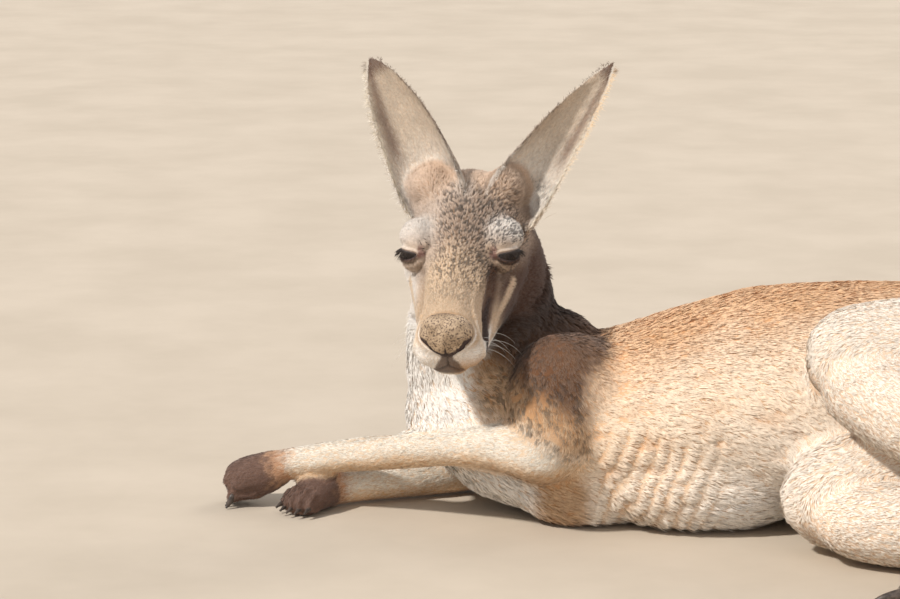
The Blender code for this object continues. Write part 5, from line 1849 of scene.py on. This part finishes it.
def eyes():
    """Two balls; local Z of each looks out of the lids, for the iris."""
    made = []
    for side, sign in (("left", 1), ("right", -1)):
        out, ahead, _ = eye_axes(sign)
        loft = Loft()
        loft.ball(np.eye(4), (EYE_RADIUS * HEAD_SCALE,) * 3, 48, 32)
        obj = smooth_shaded(loft.object(f"eyeball_{side}"))
        axes = head_turn((ahead, np.cross(out, ahead), out))
        matrix = np.eye(4)
        matrix[:3, :3] = axes.T
        matrix[:3, 3] = from_head(eye_centre(sign)[None])[0]
        obj.matrix_world = Matrix(matrix)
        made.append(obj)
    return made


def eye_place(sign, turn, height, radius):
    """A place round the eye, from degrees toward the nose and up, in the head's frame."""
    out, ahead, up = eye_axes(sign)
    a, b = np.radians(turn), np.radians(height)
    ray = (np.cos(b) * np.cos(a))[:, None] * out + (np.cos(b) * np.sin(a))[:, None] * ahead
    ray = ray + np.sin(b)[:, None] * up
    return eye_centre(sign) + unit(ray) * np.asarray(radius)[..., None]


def thread(loft, centre, radius):
    """A thin round hair along points, thickness by point."""
    along = unit(np.gradient(centre, axis=0))
    side = unit(np.cross(along, (0.13, 0.31, 0.94)))
    top = np.cross(along, side)
    angles = round_angles(HAIR_SIDES)
    rings = (centre[:, None] + side[:, None] * (radius[:, None] * np.cos(angles))[..., None]
             + top[:, None] * (radius[:, None] * np.sin(angles))[..., None])
    loft.rings(rings)


def hair(loft, root, way, bend, radius, taper, steps):
    """A hair from its root along way, bent toward its tip, and thinner there by the taper."""
    t = np.linspace(0, 1, steps)[:, None]
    thread(loft, root + way * t + bend * t ** 2, radius * (1 - taper * t[:, 0]))


def lid_rims():
    """The bare margin of the lids, a thin cord round each opening; its mask is 1 on the upper lid."""
    loft, masks, around = Loft(), [], 8
    for sign in (1, -1):
        s = np.concatenate([np.linspace(-1, 1, RIM_HALF), np.linspace(1, -1, RIM_HALF)[1:-1]])
        upper = np.arange(len(s)) < RIM_HALF
        top, low = slit_edges(s)
        radius = np.full(len(s), EYE_RADIUS + 0.0006)
        path = eye_place(sign, s * SLIT_HALF, np.where(upper, top, low), radius)
        along = unit(np.roll(path, -1, axis=0) - np.roll(path, 1, axis=0))
        outward = unit(path - eye_centre(sign))
        across = unit(np.cross(along, outward))
        angles = round_angles(around)
        thick = np.where(upper, 0.00075, 0.00070)[:, None, None]
        rings = (path[:, None] + outward[:, None] * (np.cos(angles)[None, :, None] * thick)
                 + across[:, None] * (np.sin(angles)[None, :, None] * thick))
        loft.add(rings.reshape(-1, 3), strip_faces(len(path), around, closed=True))
        masks.append(np.repeat(upper * ramp(s, -1.0, -0.8), around))
    obj = smooth_shaded(head_object("lid_rims", loft))
    paint_mask(obj, np.concatenate(masks))
    return obj


def lashes():
    """Dark lashes that hang from the upper lids over the openings, and a few hairs on each brow."""
    loft = Loft()
    for sign in (1, -1):
        _, ahead, up = eye_axes(sign)
        for s in np.linspace(-0.98, 0.84, LASHES):
            s = s + RNG.uniform(-0.02, 0.02)
            top, _ = slit_edges(np.array([s]))
            radius = np.array([EYE_RADIUS + 0.0010])
            root = eye_place(sign, np.array([s * SLIT_HALF]), top - 0.5, radius)[0]
            outward = unit(root - eye_centre(sign))
            reach = RNG.uniform(0.0075, 0.0120) * (1 - 0.25 * abs(s))
            spin = RNG.uniform(0.10, 0.45) * (1 - s)
            way = unit(outward * 0.55 - up * RNG.uniform(0.80, 1.25) - ahead * spin)
            hair(loft, root, way * reach, -up * reach * 0.16, 0.00033, 0.85, 6)
        for x, y, z in BROW_HAIRS:
            root = np.array((x, sign * y, z))
            way = unit((0.5 + RNG.uniform(-0.3, 0.3), sign * RNG.uniform(0.1, 0.7), 0.9))
            hair(loft, root, way * RNG.uniform(0.004, 0.008), -0.002 * UP, 0.00034, 0.8, 5)
    return smooth_shaded(head_object("lashes", loft))


def whiskers():
    """Fine pale whiskers from the pads beside the nose, bent down."""
    loft = Loft()
    for sign in (1, -1):
        for row, z in enumerate((-0.032, -0.040)):
            for i in range(3):
                x = 0.084 - 0.0085 * i - 0.003 * row
                root = np.array((x, sign * (0.0245 + 0.0014 * i), z - 0.001 * i))
                reach = RNG.uniform(0.024, 0.044)
                way = unit((-0.15 - 0.15 * i, sign * 1.0, -0.02 + RNG.uniform(-0.12, 0.10)))
                bend = np.array((-0.20, -sign * 0.25, -0.62)) * reach
                hair(loft, root, way * reach, bend, 0.00018, 0.8, 12)
    return smooth_shaded(head_object("whiskers", loft))


def nose_pad():
    """The bare nose: a broad pad, round below, with slit nostrils at its sides."""
    rings, around = 72, 112
    # poles at left and right, so that the front is an even grid
    ball = ball_points(rings, around)[:, (0, 2, 1)]
    # a fuller, squarer pad, taller and narrower in its lower half
    form = np.sign(ball) * np.abs(ball) ** 0.92
    form[:, 1] *= 1 - NOSE_NARROW * ramp(form[:, 2], -0.10, -0.95)
    form[:, 2] *= np.where(form[:, 2] < 0, NOSE_DROP, 1.0)
    points = form * np.array(NOSE_RADII) * 0.985 + np.array(NOSE_AT)
    side = mirrored(points)
    nostril = snapped(NOSTRIL, side[points[:, 1] > 0])
    rim = tuple((p, w * 1.9) for p, w in nostril)
    move = -0.0050 * line_mask(side, nostril)
    move += 0.0009 * (line_mask(side, rim) - line_mask(side, nostril))
    groove = ramp(np.abs(points[:, 1]), 0.0016, 0.0) * ramp(points[:, 2], -0.0220, -0.0320)
    move -= 0.0014 * groove
    move += 0.00028 * noise(points, 0.0011, 21) + 0.00018 * noise(points, 0.0023, 22)
    move += 0.0005 * noise(points, 0.007, 23)
    loft = Loft()
    loft.add(points + unit(ball) * move[:, None],
             strip_faces(rings - 1, around) + cap_faces(rings - 1, around))
    obj = smooth_shaded(head_object("nose_pad", loft))
    dark = np.clip(line_mask(side, rim) * 1.3, 0, 1)
    edge = np.linalg.norm(ball[:, 1:], axis=1)
    rough_edge = edge + 0.05 * noise(points, 0.002, 24)
    dark = np.maximum(dark, ramp(rough_edge, 0.60, 0.72) * ramp(ball[:, 2], 0.10, -0.20))
    paint_mask(obj, np.maximum(dark, groove))
    return obj


def paint_mask(obj, values):
    """A value from 0 to 1 for each point, which the material reads."""
    attribute = obj.data.attributes.new("Mask", "FLOAT", "POINT")
    attribute.data.foreach_set("value", np.asarray(values, np.float32))


def claw_loft(loft, root, ahead, length, radius, droop):
    """The solids' own hook, rounder."""
    root, ahead = np.array(root, float), unit(ahead)
    rows = []
    for s, r in CLAW_FORM:
        point = root + ahead * length * s - UP * droop * length * max(0.0, s) ** 2 * 0.5
        point[2] = max(point[2], radius * r + 0.0010)
        rows.append((*point, radius * r * 0.8, radius * r))
    loft.rings(rings_of(path_of(rows, 6), 14))


def claws():
    """The claws of each hand and foot, with the name of their limb and their number."""
    made = []
    for hand in HANDS:
        loft = Loft()
        for index in range(FINGERS):
            root, ahead = finger_root(hand, index)
            at = root + ahead * FINGER_LENGTHS[index] * 0.80
            length, radius = FINGER_CLAW
            if hand == "hand_right":
                length, radius = length * 0.72, radius * 0.85
            claw_loft(loft, at, ahead, length, radius, 0.35)
        made.append((smooth_shaded(loft.object(f"claws_{hand}")), hand, FINGERS))
    for name in FEET:
        heel, ahead, outward, length = foot_frame(name)
        loft = Loft()
        for share, shift, height, reach, radius in TOE_CLAWS:
            root = heel + ahead * length * share + outward * shift + UP * height
            claw_loft(loft, root, ahead, reach, radius, 0.5)
        made.append((smooth_shaded(loft.object(f"claws_{name}")), name, len(TOE_CLAWS)))
    return made


# ---------------------------------------------------------------- materials
# pairs are the darker and the paler colour of a surface
EYE_IRIS = ((0.020, 0.012, 0.009), (0.045, 0.020, 0.010))
EYE_PUPIL = (0.004, 0.003, 0.003)
NOSE_SAND = ((0.33, 0.235, 0.150), (0.52, 0.385, 0.260))
NOSE_SPECKS = (0.070, 0.045, 0.035)
NOSE_BARE = ((0.022, 0.013, 0.013), (0.085, 0.052, 0.045))
LID_UPPER = ((0.13, 0.085, 0.065), (0.24, 0.170, 0.135))
LID_LOWER = ((0.035, 0.022, 0.020), (0.09, 0.055, 0.048))
LASH_HAIR = ((0.02, 0.014, 0.012), (0.04, 0.028, 0.022))
WHISKER_HAIR = ((0.72, 0.68, 0.62), (0.85, 0.82, 0.78))
HORN = ((0.030, 0.022, 0.018), (0.10, 0.075, 0.060))
FLOOR = ((0.50, 0.425, 0.335), (0.55, 0.470, 0.375))
COLOUR_A, COLOUR_B, COLOUR_OUT = 6, 7, 2     # sockets of a Mix node that mixes colours


def material(name, **sockets):
    """A new material, its nodes and its shader, with the sockets named set."""
    made = bpy.data.materials.new(name)
    made.use_nodes = True
    shader = made.node_tree.nodes["Principled BSDF"]
    for socket, value in sockets.items():
        shader.inputs[socket.replace("_", " ")].default_value = value
    return made, made.node_tree, shader


def node(tree, kind, **values):
    made = tree.nodes.new(kind)
    for key, value in values.items():
        if key in made.inputs:
            made.inputs[key].default_value = value
        else:
            setattr(made, key, value)
    return made


def bumped(tree, shader, height, strength, distance):
    made = node(tree, "ShaderNodeBump", Strength=strength, Distance=distance)
    tree.links.new(height, made.inputs["Height"])
    tree.links.new(made.outputs["Normal"], shader.inputs["Normal"])


def noise_node(tree, scale, detail=4.0, rough=0.6):
    place = node(tree, "ShaderNodeTexCoord")
    made = node(tree, "ShaderNodeTexNoise", Scale=scale, Detail=detail, Roughness=rough)
    tree.links.new(place.outputs["Object"], made.inputs["Vector"])
    return made.outputs["Fac"]


def blended(tree, share, low, high, start, end):
    """Two colours mixed by a value, over a range of it."""
    spread_out = node(tree, "ShaderNodeMapRange")
    spread_out.inputs["From Min"].default_value = start
    spread_out.inputs["From Max"].default_value = end
    tree.links.new(share, spread_out.inputs["Value"])
    both = node(tree, "ShaderNodeMix", data_type="RGBA")
    tree.links.new(spread_out.outputs["Result"], both.inputs["Factor"])
    for value, index in ((low, COLOUR_A), (high, COLOUR_B)):
        if isinstance(value, tuple):
            both.inputs[index].default_value = (*value, 1.0)
        else:
            tree.links.new(value, both.inputs[index])
    return both.outputs[COLOUR_OUT]


def coat_material(name, bump_strength, shade):
    """The points' own colours with a fine darker grain; shade is how dark the grain gets."""
    made, tree, shader = material(name, Roughness=0.82, Specular_IOR_Level=0.22, Sheen_Weight=0.12,
                                  Sheen_Roughness=0.5)
    colour = node(tree, "ShaderNodeVertexColor", layer_name="Color")
    grain = noise_node(tree, 420.0, 3.0)
    darker = node(tree, "ShaderNodeMix", data_type="RGBA", blend_type="MULTIPLY")
    darker.inputs["Factor"].default_value = 1.0
    tree.links.new(colour.outputs["Color"], darker.inputs[COLOUR_A])
    tone = blended(tree, grain, (shade,) * 3, (1.0, 1.0, 1.0), 0.30, 0.62)
    tree.links.new(tone, darker.inputs[COLOUR_B])
    tree.links.new(darker.outputs[COLOUR_OUT], shader.inputs["Base Color"])
    if bump_strength:
        bumped(tree, shader, noise_node(tree, 700.0, 4.0), bump_strength, 0.0006)
    return made


def eye_material():
    """Nearly black, with a brown ring that shows where the light reaches it."""
    made, tree, shader = material("eye_gloss", Roughness=0.12, Coat_Weight=0.35, Coat_Roughness=0.03,
                                  Specular_IOR_Level=0.35)
    place = node(tree, "ShaderNodeTexCoord")
    split = node(tree, "ShaderNodeSeparateXYZ")
    tree.links.new(place.outputs["Object"], split.inputs["Vector"])
    radius = EYE_RADIUS * HEAD_SCALE
    iris = blended(tree, split.outputs["Z"], *EYE_IRIS, radius * 0.62, radius * 0.74)
    whole = blended(tree, split.outputs["Z"], iris, EYE_PUPIL, radius * 0.86, radius * 0.89)
    tree.links.new(whole, shader.inputs["Base Color"])
    return made


def nose_material():
    """Leathery skin dusted with sand and dark specks, bare round the nostrils and below."""
    made, tree, shader = material("nose_leather", Roughness=0.70, Specular_IOR_Level=0.30)
    mask = node(tree, "ShaderNodeAttribute", attribute_name="Mask")
    grains = noise_node(tree, 620.0, 4.0, 0.7)
    patches = noise_node(tree, 95.0, 2.0, 0.5)
    sandy = blended(tree, patches, *NOSE_SAND, 0.38, 0.62)
    dusted = blended(tree, grains, NOSE_SPECKS, sandy, 0.39, 0.50)
    bare = blended(tree, grains, *NOSE_BARE, 0.35, 0.75)
    whole = blended(tree, mask.outputs["Fac"], dusted, bare, 0.30, 0.70)
    tree.links.new(whole, shader.inputs["Base Color"])
    bumped(tree, shader, noise_node(tree, 900.0, 3.0), 0.55, 0.0005)
    return made


def lid_material():
    """Bare lid margins: brown above, nearly black below."""
    made, tree, shader = material("lid_margin", Roughness=0.45, Specular_IOR_Level=0.40)
    mask = node(tree, "ShaderNodeAttribute", attribute_name="Mask")
    grains = noise_node(tree, 900.0)
    upper = blended(tree, grains, *LID_UPPER, 0.35, 0.65)
    lower = blended(tree, grains, *LID_LOWER, 0.35, 0.65)
    whole = blended(tree, mask.outputs["Fac"], lower, upper, 0.2, 0.8)
    tree.links.new(whole, shader.inputs["Base Color"])
    return made


def plain_material(name, colours, scale, rough, bump_strength=0.0):
    """Two colours mixed by a grain."""
    made, tree, shader = material(name, Roughness=rough, Specular_IOR_Level=0.4)
    grain = noise_node(tree, scale)
    tree.links.new(blended(tree, grain, *colours, 0.35, 0.65), shader.inputs["Base Color"])
    if bump_strength:
        bumped(tree, shader, grain, bump_strength, 0.0004)
    return made


# ---------------------------------------------------------------- stage
CAMERA_DISTANCE = 2.93
CAMERA_RISE = math.radians(11.0)
AIM_HEIGHT = 0.1915
LENS, SENSOR = 135.0, 36.0
CLIP = (0.1, 200.0)          # the nearest and farthest the camera sees
FLOOR_HALF = 60.0
# name, the way it shines from, its width in the sky in degrees, strength, colour
SUNS = (
    ("key", (-1.0, -0.70, 1.20), 4.0, 3.45, (1.0, 0.965, 0.92)),
    ("back", (0.9, 0.75, 0.9), 28.0, 0.8, (1.0, 0.97, 0.92)),
    ("fill", (0.35, -1.0, 0.22), 60.0, 0.75, (1.0, 0.95, 0.88)),
)
SKY = (0.92, 0.94, 1.0, 1.0)
SKY_STRENGTH = 0.52


def stage():
    """The floor, the camera, three suns and an even sky."""
    floor_mesh = bpy.data.meshes.new("floor")
    corners = [(x * FLOOR_HALF, y * FLOOR_HALF, 0) for x, y in ((-1, -1), (1, -1), (1, 1), (-1, 1))]
    floor_mesh.from_pydata(corners, [], [(0, 1, 2, 3)])
    floor = linked(bpy.data.objects.new("floor", floor_mesh))
    floor.data.materials.append(plain_material("floor_paint", FLOOR, 6.0, 0.9))
    floor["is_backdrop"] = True

    camera = linked(bpy.data.objects.new("camera", bpy.data.cameras.new("camera")))
    camera.data.lens, camera.data.sensor_width = LENS, SENSOR
    camera.data.clip_start, camera.data.clip_end = CLIP
    look = Vector((0.0, math.cos(CAMERA_RISE), -math.sin(CAMERA_RISE)))
    camera.location = Vector((0, 0, AIM_HEIGHT)) - look * CAMERA_DISTANCE + SHIFT
    camera.rotation_euler = look.to_track_quat("-Z", "Y").to_euler()
    bpy.context.scene.camera = camera

    for name, way, angle, strength, tint in SUNS:
        light = bpy.data.lights.new(name, "SUN")
        light.energy, light.angle, light.color = strength, math.radians(angle), tint
        lamp = linked(bpy.data.objects.new(name, light))
        lamp.rotation_euler = Vector(way).to_track_quat("Z", "Y").to_euler()

    world = bpy.data.worlds.new("studio")
    bpy.context.scene.world = world
    world.use_nodes = True
    world.node_tree.nodes["Background"].inputs["Color"].default_value = SKY
    world.node_tree.nodes["Background"].inputs["Strength"].default_value = SKY_STRENGTH
    bpy.context.scene.view_settings.view_transform = "Standard"


# ---------------------------------------------------------------- the model
def paint_skin(skin, places):
    """The coat's colours, darker under the coat; nearly their own where the skin shows."""
    points = mesh_points(skin.data)
    colour = coat_colour(points, places)
    near = from_eye(to_head(points))
    bare = hand_share(places) + 0.5 * places.part("ear_left", "ear_right")
    bare += places.part("head") * (0.4 + ramp(near, 0.024, 0.018))
    under = colour * np.array(UNDER_COAT)
    paint_points(skin.data, mix(under, colour, np.clip(bare, 0, 1)))


def flesh_nodes():
    return [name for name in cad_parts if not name.startswith(("eye_", "nose", "claw_"))]


def place(obj, look, slot_name, *nodes):
    """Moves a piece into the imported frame, dresses it and hands it to the model."""
    obj.matrix_world = Matrix.Translation(SHIFT) @ obj.matrix_world
    obj.data.materials.clear()
    obj.data.materials.append(look)
    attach(obj, "root")
    if nodes:
        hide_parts(*nodes)


def shift_to_frame():
    """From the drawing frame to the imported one: the left eye is a ball, so its box gives its centre."""
    low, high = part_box("eye_left")
    drawn = Vector(from_head(eye_centre(1)[None])[0])
    move = (low + high) / 2 - drawn
    return Vector((move.x, move.y, 0.0))


def main():
    SHIFT.xyz = shift_to_frame()
    skin = refined(first_skin(), ((on_face, 2), (on_hands, 1), (on_features, 1)))
    sculpt_body(skin)
    sculpt_face(skin)
    skin.name = skin.data.name = "skin"
    skin.data.shade_smooth()
    places = Places(mesh_points(skin.data))
    paint_skin(skin, places)
    coat = make_coat(skin, places)

    skin_look = coat_material("skin_hide", 0.5, 0.80)
    coat_look = coat_material("coat_fur", 0.0, 0.86)
    place(skin, skin_look, "coat", *flesh_nodes())
    for piece in coat:
        place(piece, coat_look, "coat")
    eye_look = eye_material()
    for obj, side in zip(eyes(), ("left", "right")):
        place(obj, eye_look, "eye", f"eye_{side}")
    place(lid_rims(), lid_material(), "eye")
    place(lashes(), plain_material("lash_hair", LASH_HAIR, 300.0, 0.5), "coat")
    place(whiskers(), plain_material("whisker_hair", WHISKER_HAIR, 300.0, 0.4), "coat")
    place(nose_pad(), nose_material(), "nose", "nose")
    horn = plain_material("claw_horn", HORN, 260.0, 0.38, 0.2)
    for obj, owner, count in claws():
        place(obj, horn, "claw", *[f"claw_{owner}_{i + 1}" for i in range(count)])


main()
stage()
boxes = [[list(corner) for corner in box] for box in (CAD_BOX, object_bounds())]
